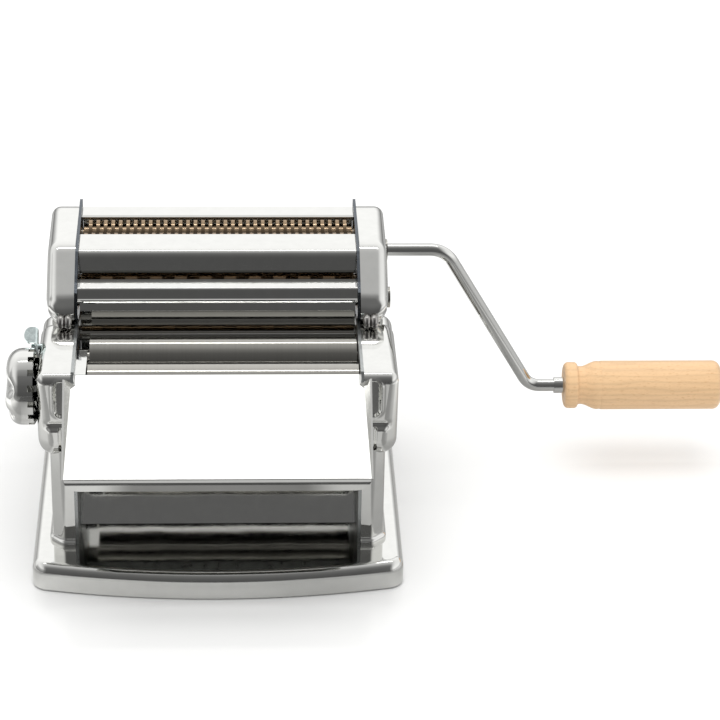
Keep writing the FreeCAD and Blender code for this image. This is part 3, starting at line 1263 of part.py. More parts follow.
def cutter_roller(label, y, z, pitch, rings, first, socket):
    """A grooved cutter roller: rings at a steady pitch on a core, with a shaft through it."""
    body = doc.addObject("PartDesign::Body", label)
    shaft = new_sketch(body, "YZ_Plane", f"-({END_OUT} + 2)")
    circle(shaft, "0", "0", "cutter_shaft")
    right_end = "cutter_gear_start + cutter_gear_width"
    pad(body, shaft, f"{right_end} + {END_OUT} + 2")
    core = new_sketch(body, "YZ_Plane", "-cutter_half")
    circle(core, "0", "0", "groove_radius")
    pad(body, core, "2 * cutter_half")
    ring = new_sketch(body, "YZ_Plane", first)
    circle(ring, "0", "0", "ring_radius")
    one = pad(body, ring, f"({pitch}) / 2 - ring_gap")
    doc.recompute()
    repeat_along_x(body, one, pitch, rings)
    doc.recompute()
    if socket:
        collar = new_sketch(body, "YZ_Plane", right_end)
        circle(collar, "0", "0", "cutter_socket_radius")
        pad(body, collar, f"cutter_socket_end - ({right_end})")
        bore = new_sketch(body, "YZ_Plane", "cutter_socket_end")
        circle(bore, "0", "0", "socket_radius")
        hole = body.newObject("PartDesign::Pocket", label + "_bore")
        hole.Profile = bore
        bind(hole, "Length", "socket_depth")
        doc.recompute()
        slot = new_sketch(body, "YZ_Plane", "cutter_socket_end - socket_depth")
        rectangle(slot, "-key_width / 2", "key_width / 2",
                  "-socket_radius + key_step", "socket_radius - key_step")
        key = body.newObject("PartDesign::Pocket", label + "_key")
        key.Profile = slot
        bind(key, "Length", "socket_key")
    bind(body, "Placement.Base.y", y)
    bind(body, "Placement.Base.z", z)
    node(body, label)


def make_cutter_rollers():
    """Two interleaved pairs: the rings of one roller run in the grooves of the other."""
    for kind, front_y, rear_y, z in CUTTER_PAIRS:
        pitch = kind + "_pitch"
        rings = kind + "_rings"
        ring = f"({pitch} / 2 - ring_gap)"
        first = f"-(({rings} - 1) * {pitch} + {ring}) / 2"
        cutter_roller(f"{kind}_cutter_front", front_y, z, pitch, rings, first, True)
        shifted = f"{first} + {pitch} / 2"
        cutter_roller(f"{kind}_cutter_rear", rear_y, z, pitch, f"{rings} - 1", shifted, False)


def make_cutter_gears():
    teeth = int(value("cutter_gear_teeth"))
    distance = value("cutter_pitch")
    module = distance / teeth
    pitch = distance / 2
    tip = pitch + value("cutter_addendum")
    root = pitch - value("cutter_dedendum")
    thickness = math.pi * module / 2 - value("cutter_thinning")
    gear = (teeth, module, tip, root, thickness, value("cutter_shaft"))
    for kind, front_y, rear_y, z in CUTTER_PAIRS:
        rear_turn = facing_turn(teeth, teeth, 0, 0)
        for label, y, turn in ((f"{kind}_gear_front", front_y, 0), (f"{kind}_gear_rear", rear_y, rear_turn)):
            make_gear(label, gear, turn, "cutter_gear_start", "cutter_gear_width", y, z)


def sheet_strip(points, wall):
    """Closed outline of a bent sheet: the outer line there, and back at one sheet's thickness."""
    outer = [V(y, z, 0) for y, z in points]
    back = []
    for i, point in enumerate(outer):
        before = outer[i] - outer[i - 1] if i else outer[1] - outer[0]
        after = outer[i + 1] - outer[i] if i + 1 < len(outer) else before
        n0 = V(-before.y, before.x, 0).normalize()
        n1 = V(-after.y, after.x, 0).normalize()
        middle = (n0 + n1).normalize()
        back.append(point + middle * (wall / middle.dot(n0)))
    return [V(0, p.x, p.y) for p in outer + back[::-1]]


def make_hood(label, points):
    """A hood: bent sheet that runs between the cutter end plates."""
    reach = value("end_inner - joint_gap / 2")
    profile = [V(-reach, p.y, p.z) for p in sheet_strip(points, value("thin_sheet"))]
    solid(label, prism(profile, V(2 * reach, 0, 0)))


def make_hoods():
    high = value("deck_high")
    low = value("deck_low")
    rear = value("hood_rear")
    fine_y = value("cutter_y")
    wide_y = value(WIDE_REAR_Y)
    wall = value("thin_sheet")
    ring = value("ring_radius")
    apron_y = value(f"{WIDE_FRONT_Y} - ring_radius - 1.5")
    fine_rear = value(FINE_REAR_Y)
    make_hood("rear_hood", [(rear, value("hood_bottom")), (rear, high - 2), (rear - 2, high),
                            (fine_rear + 3.4, high), (fine_rear + 2, high - 0.5)])
    middle = wide_y - 6.3
    make_hood("middle_hood", [(fine_y - 3, high), (middle + 1.1, high), (middle, high - 1.1),
                              (middle, value(WIDE_Z) + ring - 0.3)])
    front = apron_y - 0.7 - wall
    make_hood("front_hood", [(apron_y + 10.4, low), (front + 1.1, low),
                             (front, low - 1.1), (front, low - 5.6)])
    bottom = value("apron_bottom")
    reach = value("inner_half - apron_gap")
    profile = [(apron_y - 0.5, low - 3.6), (apron_y - 0.5, bottom + 1),
               (apron_y + 0.6, bottom), (apron_y + 4, bottom)]
    strip = [V(-reach, p.y, p.z) for p in sheet_strip(profile, wall)]
    solid("cutter_apron", prism(strip, V(2 * reach, 0, 0)))


def make_comb(label, pitch, rings, first, root, tip, reach):
    """Stripper comb: a strip between the end plates with a finger in each groove."""
    body = doc.addObject("PartDesign::Body", label)
    strip = new_sketch(body, "YZ_Plane", f"-({reach})")
    y0, z0 = root
    y1, z1 = tip
    rectangle(strip, f"({y0}) - comb_half", f"({y0}) + comb_half",
              f"({z0}) - comb_rise", f"({z0}) + comb_rise")
    pad(body, strip, f"2 * ({reach})")
    finger = new_sketch(body, "YZ_Plane", first)
    outline(finger, [(f"({y0}) - finger_root", z0), (f"({y0}) + finger_root", z0),
                     (f"({y1}) + finger_tip", z1), (f"({y1}) - finger_tip", z1)])
    one = pad(body, finger, f"({pitch}) / 2 - ring_gap - 2 * finger_gap")
    doc.recompute()
    repeat_along_x(body, one, pitch, rings)
    return body


def make_combs():
    """Each comb has its fingers in the grooves of one roller, on the side away from the other."""
    end = "end_inner"
    short = "inner_half - apron_gap"
    for kind, front_y, rear_y, z in CUTTER_PAIRS:
        pitch = kind + "_pitch"
        rings = kind + "_rings"
        ring = f"({pitch} / 2 - ring_gap)"
        first = f"-(({rings} - 1) * {pitch} + {ring}) / 2"
        groove = f"{first} + {pitch} / 2 + finger_gap"
        next_groove = f"{first} + {pitch} + finger_gap"
        if kind == "fine":
            front_root = (f"{front_y} - 5", f"{z} - ring_radius - 4.1")
            front_reach = end
        else:
            front_root = (f"{front_y} - 6", "apron_bottom + thin_sheet + comb_rise")
            front_reach = short
        front = make_comb(f"{kind}_comb_front", pitch, f"{rings} - 1", groove, front_root,
                          (f"{front_y} - 3", f"{z} - groove_radius - 0.7"), front_reach)
        rear_root = (f"{rear_y} + 5", f"{z} - ring_radius - 4.1")
        rear_tip = (f"{rear_y} + 3", f"{z} - groove_radius - 0.7")
        rear = make_comb(f"{kind}_comb_rear", pitch, f"{rings} - 2", next_groove, rear_root, rear_tip, end)
        group(f"{kind}_combs", [front, rear])


def make_hooks():
    """Rounded hooks on the noses of the end covers, which reach over the side covers."""
    hooks = []
    for side, name in SIDES:
        low, high = mirrored(side, f"{END_OUT} + 0.8", f"{END_OUT} + 9.2")
        middle = "cover_nose - hook_radius - 0.1"
        nose = bar(f"hook_{name}_nose", "hook_radius", low, high, middle, "cover_top + 0.3 + hook_radius")
        arm = box(f"hook_{name}_arm", low, high, middle, "cover_nose - slide_gap", "cover_top + 1.4",
                  "cover_top + 0.3 + 2 * hook_radius")
        hooks.append(fuse(f"hook_{name}", [nose, arm]))
    group("cutter_hooks", hooks)


# Crank

def make_crank_rod():
    """Bent steel rod: socket end with a flat key, two bends, and the spindle of the grip."""
    radius = value("rod_radius")
    y = value("cutter_y")
    top = value("cutter_z")
    low = value(GRIP_Z)
    tip = value("cutter_socket_end - socket_depth + 0.3")
    key_end = value("cutter_socket_end - socket_depth - socket_key + 0.4")
    corner0 = V(value("crank_straight"), y, top)
    corner1 = V(value("crank_second"), y, low)
    spindle_end = V(value("grip_start + grip_bore_depth - 1"), y, low)

    def rounded(before, corner, after, bend):
        """Tangent points and middle of the arc that rounds a corner."""
        back = (before - corner).normalize()
        ahead = (after - corner).normalize()
        half = back.getAngle(ahead) / 2
        reach = bend / math.tan(half)
        inward = (back + ahead).normalize()
        middle = corner + inward * (bend / math.sin(half) - bend)
        return corner + back * reach, middle, corner + ahead * reach

    start = V(tip, y, top)
    a0, am, a1 = rounded(start, corner0, corner1, value("crank_bend"))
    b0, bm, b1 = rounded(corner0, corner1, spindle_end, value("crank_second_bend"))
    path = Part.Wire([Part.LineSegment(start, a0).toShape(), Part.Arc(a0, am, a1).toShape(),
                      Part.LineSegment(a1, b0).toShape(), Part.Arc(b0, bm, b1).toShape(),
                      Part.LineSegment(b1, spindle_end).toShape()])
    section = Part.Wire([Part.Circle(start, X_AXIS, radius).toShape()])
    rod = path.makePipeShell([section], True, True)
    expected = math.pi * radius ** 2 * path.Length
    if abs(rod.Volume - expected) > expected / 200:
        raise RuntimeError("the crank rod's volume is not its section times its length")
    width = value("key_width") / 2 - 0.1
    blade = Part.makeCylinder(radius, start.x - key_end, V(key_end, y, top), X_AXIS)
    half = radius - value("key_step") - 0.1
    slab = Part.makeBox(start.x - key_end, 2 * width, 2 * half, V(key_end, y - width, top - half))
    solid("crank_rod", rod.fuse(blade.common(slab)).removeSplitter())


def make_grip():
    """Turned wooden grip with a bead, a neck, a long body and a rounded end."""
    start = value("grip_start")
    end = start + value("grip_length")
    z0 = value(GRIP_Z)
    y = value("cutter_y")
    body = value("grip_radius")
    bead = value("grip_bead")
    neck = value("grip_neck")
    bore = value("grip_bore")
    depth = value("grip_bore_depth")
    turn = value("grip_round")
    third = turn * (1 - math.sqrt(0.5))

    def at(x, radius):
        return V(x, y, z0 + radius)

    bead_end = start + value("bead_length")
    shoulder = start + value("neck_length")
    edges = [Part.LineSegment(at(start, bore), at(start, bead - 2.5)).toShape(),
             Part.Arc(at(start, bead - 2.5), at(start + 0.75, bead - 0.75), at(start + 2.5, bead)).toShape(),
             Part.LineSegment(at(start + 2.5, bead), at(bead_end - 2, bead)).toShape(),
             Part.Arc(at(bead_end - 2, bead), at(bead_end - 0.6, bead - 0.6),
                      at(bead_end, bead - 2)).toShape()]
    curve = Part.BSplineCurve()
    curve.interpolate([at(bead_end, bead - 2), at(bead_end + 1.6, neck), at(bead_end + 5, neck + 0.9),
                       at(shoulder, body - 0.3)])
    edges.append(curve.toShape())
    edges += [Part.Arc(at(shoulder, body - 0.3), at(shoulder + 0.6, body - 0.1),
                       at(shoulder + 1.5, body)).toShape(),
              Part.LineSegment(at(shoulder + 1.5, body), at(end - turn, body)).toShape(),
              Part.Arc(at(end - turn, body), at(end - third, body - third), at(end, body - turn)).toShape(),
              Part.LineSegment(at(end, body - turn), at(end, 0)).toShape(),
              Part.LineSegment(at(end, 0), at(start + depth, 0)).toShape(),
              Part.LineSegment(at(start + depth, 0), at(start + depth, bore)).toShape(),
              Part.LineSegment(at(start + depth, bore), at(start, bore)).toShape()]
    profile = Part.Face(Part.Wire(edges))
    solid("crank_grip", profile.revolve(V(start, y, z0), X_AXIS, 360))


def make_grip_collar():
    """Steel collar pressed on the rod, which keeps the grip from sliding in."""
    start = "grip_start - joint_gap - collar_length"
    outer = bar("grip_collar_outer", "washer_radius", start, "grip_start - joint_gap", "cutter_y", GRIP_Z)
    hole = bar("grip_collar_hole", "rod_radius", f"{start} - 1", "grip_start", "cutter_y", GRIP_Z)
    node(cut("grip_collar", outer, hole), "grip_collar")


# Build everything

make_base()
make_feet()
for side, name in SIDES:
    make_side_plate(side, name)
    make_leg(side, name)
make_side_covers()
make_leg_fasteners()
make_cover_screws()
make_tie_rods()
make_chute_and_panel()
make_body_bushes()
make_rollers()
make_roller_gears()
make_drive_shaft()
for side, name in SIDES:
    make_bearing_block(side, name)
make_carriage_bar()
make_dial_bracket()
make_dial_shaft()
make_dial()
make_lock_lever()
make_lever_pivot()
make_small_fittings()
make_scrapers()
make_tray()
for side, name in SIDES:
    make_end_plate(side, name)
make_end_covers()
make_end_cover_screws()
make_cutter_rods()
make_cutter_bushes()
make_cutter_rollers()
make_cutter_gears()
make_hoods()
make_combs()
make_hooks()
make_crank_rod()
make_grip()
make_grip_collar()
doc.recompute()

faults = [f"{thing.Name}: {thing.State}" for thing in doc.Objects
          if "Invalid" in thing.State or "Error" in thing.State]
for thing in nodes:
    if thing.Shape.isNull() or not thing.Shape.isValid() or not thing.Shape.Solids:
        faults.append(f"{thing.Label}: its shape is null or not valid")
if faults:
    raise RuntimeError("; ".join(faults))

os.makedirs("parts", exist_ok=True)
for thing in nodes:
    thing.Shape.exportStep(f"parts/{thing.Label}.step")
    box_size = thing.Shape.BoundBox
    print(f"{thing.Label}: {len(thing.Shape.Solids)} solids, {thing.Shape.Volume:.0f} mm3, "
          f"x {box_size.XMin:.1f} {box_size.XMax:.1f}, y {box_size.YMin:.1f} {box_size.YMax:.1f}, "
          f"z {box_size.ZMin:.1f} {box_size.ZMax:.1f}")
print(len(nodes), "nodes")
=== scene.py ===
"""Hand cranked pasta machine: the finish of its pressed shells, ground rollers and turned grip.

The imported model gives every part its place. This script gives the parts their metal and wood, replaces
the drawn shells and the dial by fuller surfaces, and sets the table, the light and the camera.
"""

import math

import bpy
import numpy as np
from mathutils import Matrix, Vector


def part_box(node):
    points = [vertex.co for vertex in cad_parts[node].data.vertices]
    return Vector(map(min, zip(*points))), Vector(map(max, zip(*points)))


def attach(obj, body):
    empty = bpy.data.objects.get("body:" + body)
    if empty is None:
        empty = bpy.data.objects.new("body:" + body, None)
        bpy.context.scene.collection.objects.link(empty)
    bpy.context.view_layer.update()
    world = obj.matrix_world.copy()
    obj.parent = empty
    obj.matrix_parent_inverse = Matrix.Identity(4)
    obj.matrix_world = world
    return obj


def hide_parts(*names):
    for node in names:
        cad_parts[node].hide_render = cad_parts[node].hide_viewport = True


bl_info = {
    "name": "Pasta Machine Finish",
    "version": (1, 0, 0),
    "blender": (4, 5, 0),
    "location": "View3D > Sidebar > Pasta Machine",
    "description": "Chromed shells, ground rollers and a turned grip for a hand cranked pasta machine",
    "category": "Object",
}

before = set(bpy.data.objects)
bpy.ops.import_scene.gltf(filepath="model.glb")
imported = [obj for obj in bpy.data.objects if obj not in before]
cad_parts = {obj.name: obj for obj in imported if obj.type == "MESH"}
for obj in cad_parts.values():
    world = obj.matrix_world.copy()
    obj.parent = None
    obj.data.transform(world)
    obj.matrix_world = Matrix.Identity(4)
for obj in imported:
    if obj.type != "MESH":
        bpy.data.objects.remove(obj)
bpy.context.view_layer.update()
MM = 0.001
FOOT_CORNER = 13.0  # radius of a side cover's lower corners, in millimetres; the legs follow it

# Axes of holes in the side covers and of the cutters' sockets, in millimetres along Y and Z.
DRIVE_SHAFT = (2.652, 80.5)
DIAL_SHAFT = (-44.05, 99.7)
LEVER_PIVOT = (-25.6, 112.6)
COVER_SCREW = (-22.0, 77.0)
FINE_SOCKET = (45.0, 133.0)
WIDE_SOCKET = (10.0, 122.6)


def linear(colour):
    """Linear red, green, blue and alpha of an sRGB hex colour."""
    parts = np.array([colour >> 16 & 255, colour >> 8 & 255, colour & 255]) / 255
    parts = np.where(parts <= 0.04045, parts / 12.92, ((parts + 0.055) / 1.055) ** 2.4)
    return (*map(float, parts), 1.0)


def colour_property(name, description, colour):
    """A colour setting whose default is an sRGB hex colour."""
    return bpy.props.FloatVectorProperty(
        name=name, description=description, subtype="COLOR", size=4, min=0, max=1, default=linear(colour))


class PastaColours(bpy.types.PropertyGroup):
    """Colours of the metals, the wood and the table."""

    chrome: colour_property("Chromium plate", "Colour of the mirror on the pressed shells", 0xDDDDDA)
    # The hooks' colour is chrome painted darker, a painted shade standing in for the dark reflections they
    # show.
    nickel: colour_property("Dark nickel plate", "Colour of the attachment's hooks", 0xA3A19E)
    black_nickel: colour_property("Black nickel plate", "Colour of the attachment's end plates", 0x63686E)
    ground: colour_property("Ground steel", "Colour of the smooth rollers", 0xADABA5)
    cutter: colour_property("Oiled cutter steel", "Colour of the noodle cutters", 0xA18C73)
    gear: colour_property("Hobbed gear steel", "Colour of the gears", 0x8F8D88)
    zinc: colour_property("Zinc plate", "Colour of the lever, nuts and screws", 0xDFEBEA)
    sheet: colour_property("Galvanised sheet", "Colour of the side plates and combs", 0xB9BCBB)
    bronze: colour_property("Sintered bronze", "Colour of the plain bushes", 0xA9834C)
    rubber: colour_property("Moulded rubber", "Colour of the feet", 0x26282A)
    beech_pale: colour_property("Pale beech", "Early wood of the grip", 0xE9C396)
    beech_dark: colour_property("Dark beech", "Late wood and flecks of the grip", 0xC08F5F)
    table: colour_property("Table", "Colour of the pale table", 0xF4F4F3)


def length_property(name, description, millimetres):
    """A length setting whose default is given in millimetres."""
    return bpy.props.FloatProperty(
        name=name, description=description, unit="LENGTH", default=millimetres * MM)


class PastaSizes(bpy.types.PropertyGroup):
    """Sizes of the pressed shells and the dial that the finish draws anew."""

    hood_sheet: length_property("Hood sheet", "Thickness of the hoods and the apron", 1.0)
    hood_bend: length_property("Hood bend", "Outer radius of the middle hood's long bend", 4.3)
    hood_lean: length_property("Hood lean", "How far the middle hood's front leans back over its height", 2.7)
    shell_wall: length_property("Shell wall", "Thickness of the drawn covers", 1.4)
    panel_depth: length_property("Panel depth", "Depth of a side cover's recessed panel at its top", 3.6)
    panel_border: length_property("Panel border", "Height of the bead round that panel", 0.45)
    bulge_height: length_property("Bulge height", "Height of the pressed bulge below that panel", 1.3)
    nose_taper: length_property("Nose taper", "How much a cutter end cover narrows at its nose", 5.0)
    dial_scoop: length_property("Dial scoop", "Depth of the finger scoops beside the dial's grip bar", 3.6)
    hook_radius: length_property("Hook radius", "Radius of the fingers of the attachment's hooks", 2.1)


def feed(tree, node, inputs):
    """Sets a node's inputs to values, or links them to sockets."""
    for name, given in inputs.items():
        if isinstance(given, bpy.types.NodeSocket):
            tree.links.new(given, node.inputs[name])
        else:
            node.inputs[name].default_value = given


def add(tree, kind, inputs=None, stops=(), **settings):
    """Adds a node with its inputs and its own settings; stops are a colour ramp's positions and colours."""
    made = tree.nodes.new(kind)
    for name, setting in settings.items():
        setattr(made, name, setting)
    feed(tree, made, inputs or {})
    for _ in stops[2:]:
        made.color_ramp.elements.new(0.5)
    for i, (position, colour) in enumerate(stops):
        made.color_ramp.elements[i].position = position
        made.color_ramp.elements[i].color = colour
    return made


def finish(name, inputs):
    """A material with one Principled shader, and its tree, shader and Object coordinates."""
    material = bpy.data.materials.new(name)
    material.use_nodes = True
    tree = material.node_tree
    tree.nodes.clear()
    shader = add(tree, "ShaderNodeBsdfPrincipled", inputs)
    add(tree, "ShaderNodeOutputMaterial", {"Surface": shader.outputs["BSDF"]})
    place = add(tree, "ShaderNodeTexCoord").outputs["Object"]
    return material, tree, shader, place


def shade(colour, amount):
    """A colour made darker or lighter by a factor."""
    return (*(min(1.0, c * amount) for c in colour[:3]), 1.0)


def chromium_plate(colours):
    """Drawn steel sheet, polished and chromium plated: a cool mirror, faintly wavy from the press."""
    material, tree, shader, place = finish("chromium_plate", {"Metallic": 1.0})
    # The polish has clouds about 6 mm across, the press leaves waves about 22 mm long.
    haze = add(tree, "ShaderNodeTexNoise", {"Vector": place, "Scale": 160.0, "Detail": 4.0, "Roughness": 0.6})
    tint = add(tree, "ShaderNodeValToRGB", {"Fac": haze.outputs["Fac"]},
               [(0.3, shade(colours.chrome, 0.95)), (0.7, tuple(colours.chrome))])
    rough = add(tree, "ShaderNodeMapRange", {
        "Value": haze.outputs["Fac"], "From Min": 0.35, "From Max": 0.75, "To Min": 0.035, "To Max": 0.075})
    waves = add(tree, "ShaderNodeTexNoise", {"Vector": place, "Scale": 45.0, "Detail": 1.0, "Roughness": 0.4})
    bump = add(tree, "ShaderNodeBump", {"Height": waves.outputs["Fac"], "Strength": 0.25, "Distance": 0.0002})
    feed(tree, shader, {"Base Color": tint.outputs["Color"], "Roughness": rough.outputs["Result"],
                        "Normal": bump.outputs["Normal"]})
    return material


def ground_steel(colours):
    """Case hardened steel, ground between centres: fine rings round the roller blur the mirror."""
    material, tree, shader, place = finish("ground_steel", {"Metallic": 1.0})
    # Grinding marks are 0.05 mm apart; 0.3 mm is the finest that shows.
    along = add(tree, "ShaderNodeMapping", {"Vector": place, "Scale": (3300.0, 25.0, 25.0)})
    marks = add(tree, "ShaderNodeTexNoise", {"Vector": along.outputs["Vector"], "Scale": 1.0, "Detail": 2.0})
    height = marks.outputs["Fac"]
    tint = add(tree, "ShaderNodeValToRGB", {"Fac": height},
               [(0.3, shade(colours.ground, 0.93)), (0.7, tuple(colours.ground))])
    rough = add(tree, "ShaderNodeMapRange", {
        "Value": height, "From Min": 0.3, "From Max": 0.7, "To Min": 0.08, "To Max": 0.13})
    bump = add(tree, "ShaderNodeBump", {"Height": height, "Strength": 0.15, "Distance": 0.00001})
    feed(tree, shader, {"Base Color": tint.outputs["Color"], "Roughness": rough.outputs["Result"],
                        "Normal": bump.outputs["Normal"]})
    return material


def plain_metal(name, colour, rough, grain, relief):
    """A satin metal: a noise of its own grain size moves its tint and roughness and roughens its face.

    Rough is the roughness on and between the grains; the grain's width and height are in millimetres.
    """
    material, tree, shader, place = finish(name, {"Metallic": 1.0})
    speckle = add(tree, "ShaderNodeTexNoise", {"Vector": place, "Scale": 1 / (grain * MM), "Detail": 3.0})
    height = speckle.outputs["Fac"]
    tint = add(tree, "ShaderNodeValToRGB", {"Fac": height},
               [(0.3, shade(colour, 0.78)), (0.7, tuple(colour))])
    spread = add(tree, "ShaderNodeMapRange", {
        "Value": height, "From Min": 0.3, "From Max": 0.7, "To Min": rough[0], "To Max": rough[1]})
    bump = add(tree, "ShaderNodeBump", {"Height": height, "Strength": 0.4, "Distance": relief * MM})
    feed(tree, shader, {"Base Color": tint.outputs["Color"], "Roughness": spread.outputs["Result"],
                        "Normal": bump.outputs["Normal"]})
    return material


def oiled_cutter_steel(colours):
    """Hobbed cutter steel, brown with oil between the end plates; its shaft ends are wiped bright."""
    material = plain_metal("oiled_cutter_steel", colours.cutter, (0.1, 0.2), 1.2, 0.02)
    tree = material.node_tree
    shader = next(n for n in tree.nodes if n.bl_idname == "ShaderNodeBsdfPrincipled")
    oiled = shader.inputs["Base Color"].links[0].from_socket
    place = add(tree, "ShaderNodeTexCoord").outputs["Object"]
    spot = add(tree, "ShaderNodeSeparateXYZ", {0: place})
    reach = add(tree, "ShaderNodeMath", {0: spot.outputs["X"], 1: 0.0}, operation="ABSOLUTE")
    # The oil ends where the cutters pass through the end plates, 72.5 mm from the middle.
    ends = add(tree, "ShaderNodeMapRange", {
        "Value": reach.outputs[0], "From Min": 0.0722, "From Max": 0.0728})
    tint = add(tree, "ShaderNodeMix", {"Factor": ends.outputs[0], "A": oiled, "B": tuple(colours.ground)},
               data_type="RGBA")
    feed(tree, shader, {"Base Color": tint.outputs["Result"]})
    return material


def moulded_rubber(colours):
    """Moulded rubber: dull, with the fine spark-eroded grain of its mould."""
    material, tree, shader, place = finish("moulded_rubber", {"IOR": 1.52})
    # The mould's grain is 0.4 mm wide.
    grain = add(tree, "ShaderNodeTexNoise", {"Vector": place, "Scale": 2500.0, "Detail": 2.0})
    tint = add(tree, "ShaderNodeValToRGB", {"Fac": grain.outputs["Fac"]},
               [(0.3, shade(colours.rubber, 0.7)), (0.7, tuple(colours.rubber))])
    rough = add(tree, "ShaderNodeMapRange", {"Value": grain.outputs["Fac"], "To Min": 0.6, "To Max": 0.85})
    bump = add(tree, "ShaderNodeBump", {"Height": grain.outputs["Fac"], "Strength": 0.5, "Distance": 0.00005})
    feed(tree, shader, {"Base Color": tint.outputs["Color"], "Roughness": rough.outputs["Result"],
                        "Normal": bump.outputs["Normal"]})
    return material


def turned_beech(colours):
    """Steamed beech, turned and lacquered: pale rings along the grip, with short dark rays."""
    material, tree, shader, place = finish("turned_beech", {
        "IOR": 1.5, "Coat Weight": 0.15, "Coat Roughness": 0.2})
    # The tree's heart lies 60 mm below the grip, so its rings, 2.4 mm apart, run along it as long arcs.
    heart = add(tree, "ShaderNodeMapping", {
        "Vector": place, "Location": (0.0, -0.02, 0.01), "Rotation": (0.0, 0.02, 0.012),
        "Scale": (0.12, 1.0, 1.0)})
    bend = add(tree, "ShaderNodeTexNoise", {"Vector": heart.outputs["Vector"], "Scale": 35.0, "Detail": 2.0})
    rings = add(tree, "ShaderNodeTexWave", {
        "Vector": heart.outputs["Vector"], "Scale": 95.0, "Distortion": 6.0, "Detail": 3.0,
        "Detail Scale": 2.5}, wave_type="RINGS", rings_direction="X")
    # Rays are 1 to 3 mm long and 0.2 mm wide.
    stretched = add(tree, "ShaderNodeMapping", {"Vector": place, "Scale": (420.0, 2600.0, 2600.0)})
    rays = add(tree, "ShaderNodeTexNoise", {
        "Vector": stretched.outputs["Vector"], "Scale": 1.0, "Detail": 1.0})
    pale = tuple(colours.beech_pale)
    wood = add(tree, "ShaderNodeValToRGB", {"Fac": rings.outputs["Fac"]},
               [(0.0, shade(pale, 1.03)), (0.7, shade(pale, 0.98)), (1.0, shade(pale, 0.91))])
    cloud = add(tree, "ShaderNodeValToRGB", {"Fac": bend.outputs["Fac"]},
                [(0.3, (0.92, 0.9, 0.88, 1)), (0.7, (1.0, 1.0, 1.0, 1))])
    clouded = add(tree, "ShaderNodeMix", {
        "Factor": 1.0, "A": wood.outputs["Color"], "B": cloud.outputs["Color"]},
        data_type="RGBA", blend_type="MULTIPLY")
    flecks = add(tree, "ShaderNodeValToRGB", {"Fac": rays.outputs["Fac"]},
                 [(0.62, (0, 0, 0, 1)), (0.72, (1, 1, 1, 1))])
    strength = add(tree, "ShaderNodeMath", {0: flecks.outputs["Color"], 1: 0.55}, operation="MULTIPLY")
    tint = add(tree, "ShaderNodeMix", {
        "Factor": strength.outputs[0], "A": clouded.outputs["Result"], "B": tuple(colours.beech_dark)},
        data_type="RGBA")
    rough = add(tree, "ShaderNodeMapRange", {"Value": bend.outputs["Fac"], "To Min": 0.38, "To Max": 0.5})
    bump = add(tree, "ShaderNodeBump", {"Height": rays.outputs["Fac"], "Strength": 0.2, "Distance": 0.00006})
    feed(tree, shader, {"Base Color": tint.outputs["Result"], "Roughness": rough.outputs["Result"],
                        "Normal": bump.outputs["Normal"]})
    return material


FINISHES = {made.__name__: made for made in (
    chromium_plate, ground_steel, oiled_cutter_steel, moulded_rubber, turned_beech)}

# The colour, the roughness, and the grain's width and height in millimetres of each plain metal.
PLAIN_METALS = {
    # Steel with hobbed teeth, left as it was cut: grey and dull.
    "hobbed_gear_steel": ("gear", (0.28, 0.45), 0.8, 0.04),
    # Chrome on the hooks, painted darker into a smoky mirror: painted shade for the dark room that they
    # reflect.
    "dark_nickel_plate": ("nickel", (0.05, 0.1), 3.0, 0.01),
    # Black nickel on punched plate: dark, so its edges outline the hoods.
    "black_nickel_plate": ("black_nickel", (0.18, 0.3), 3.0, 0.02),
    # Bright zinc with a blue passivation, on stamped steel and screws: pale and slightly soft.
    "bright_zinc_plate": ("zinc", (0.14, 0.28), 2.0, 0.01),
    # Sheet from the zinc bath, unpolished: dull grey with a coarse spangle.
    "galvanised_sheet": ("sheet", (0.25, 0.42), 4.0, 0.04),
    # Pressed and sintered powder, soaked in oil: matt yellow brown, with fine pores.
    "sintered_bronze": ("bronze", (0.3, 0.5), 0.6, 0.05),
}

CAD_FINISH = {
    "chromium_plate": [
        "base_plate", "leg_shell_left", "leg_shell_right", "side_cover_left", "side_cover_right",
        "chute_plate", "rear_panel", "roller_end_guide", "dough_tray", "dial_knob", "cutter_end_cover_left",
        "cutter_end_cover_right", "rear_hood", "middle_hood", "front_hood", "cutter_apron", "cutter_hooks",
        "crank_rod", "grip_collar"],
    "black_nickel_plate": ["cutter_end_plate_left", "cutter_end_plate_right"],
    "ground_steel": [
        "rear_roller", "front_roller", "drive_shaft", "dial_shaft", "tie_rods", "cutter_rods",
        "cover_pillars", "cutter_pillars"],
    "oiled_cutter_steel": [
        "fine_cutter_front", "fine_cutter_rear", "wide_cutter_front", "wide_cutter_rear", "fine_combs",
        "wide_combs"],
    "hobbed_gear_steel": [
        "rear_roller_gear", "front_roller_gear", "drive_pinion", "fine_gear_front", "fine_gear_rear",
        "wide_gear_front", "wide_gear_rear"],
    "bright_zinc_plate": [
        "leg_fasteners", "cover_screws", "tie_nuts", "lever_pivot", "lock_lever", "tray_studs",
        "cutter_screws"],
    "galvanised_sheet": [
        "side_plate_left", "side_plate_right", "bearing_block_left", "bearing_block_right", "carriage_bar",
        "dial_bracket", "scrapers"],
    "sintered_bronze": ["body_bushes", "cutter_bushes"],
    "moulded_rubber": ["base_feet"],
    "turned_beech": ["crank_grip"],
}


def material_of(name):
    """The finish of that name, made when it is first asked for."""
    colours = bpy.context.scene.pasta_colours
    found = bpy.data.materials.get(name)
    if found:
        return found
    if name in FINISHES:
        return FINISHES[name](colours)
    colour, rough, grain, relief = PLAIN_METALS[name]
    return plain_metal(name, getattr(colours, colour), rough, grain, relief)


class PASTA_OT_finish_parts(bpy.types.Operator):
    """Gives every carried part its metal, rubber or wood"""

    bl_idname = "pasta.finish_parts"
    bl_label = "Finish the Parts"

    def execute(self, context):
        for name, nodes in CAD_FINISH.items():
            for node in nodes:
                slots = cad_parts[node].data.materials
                slots.clear()
                slots.append(material_of(name))
        return {"FINISHED"}


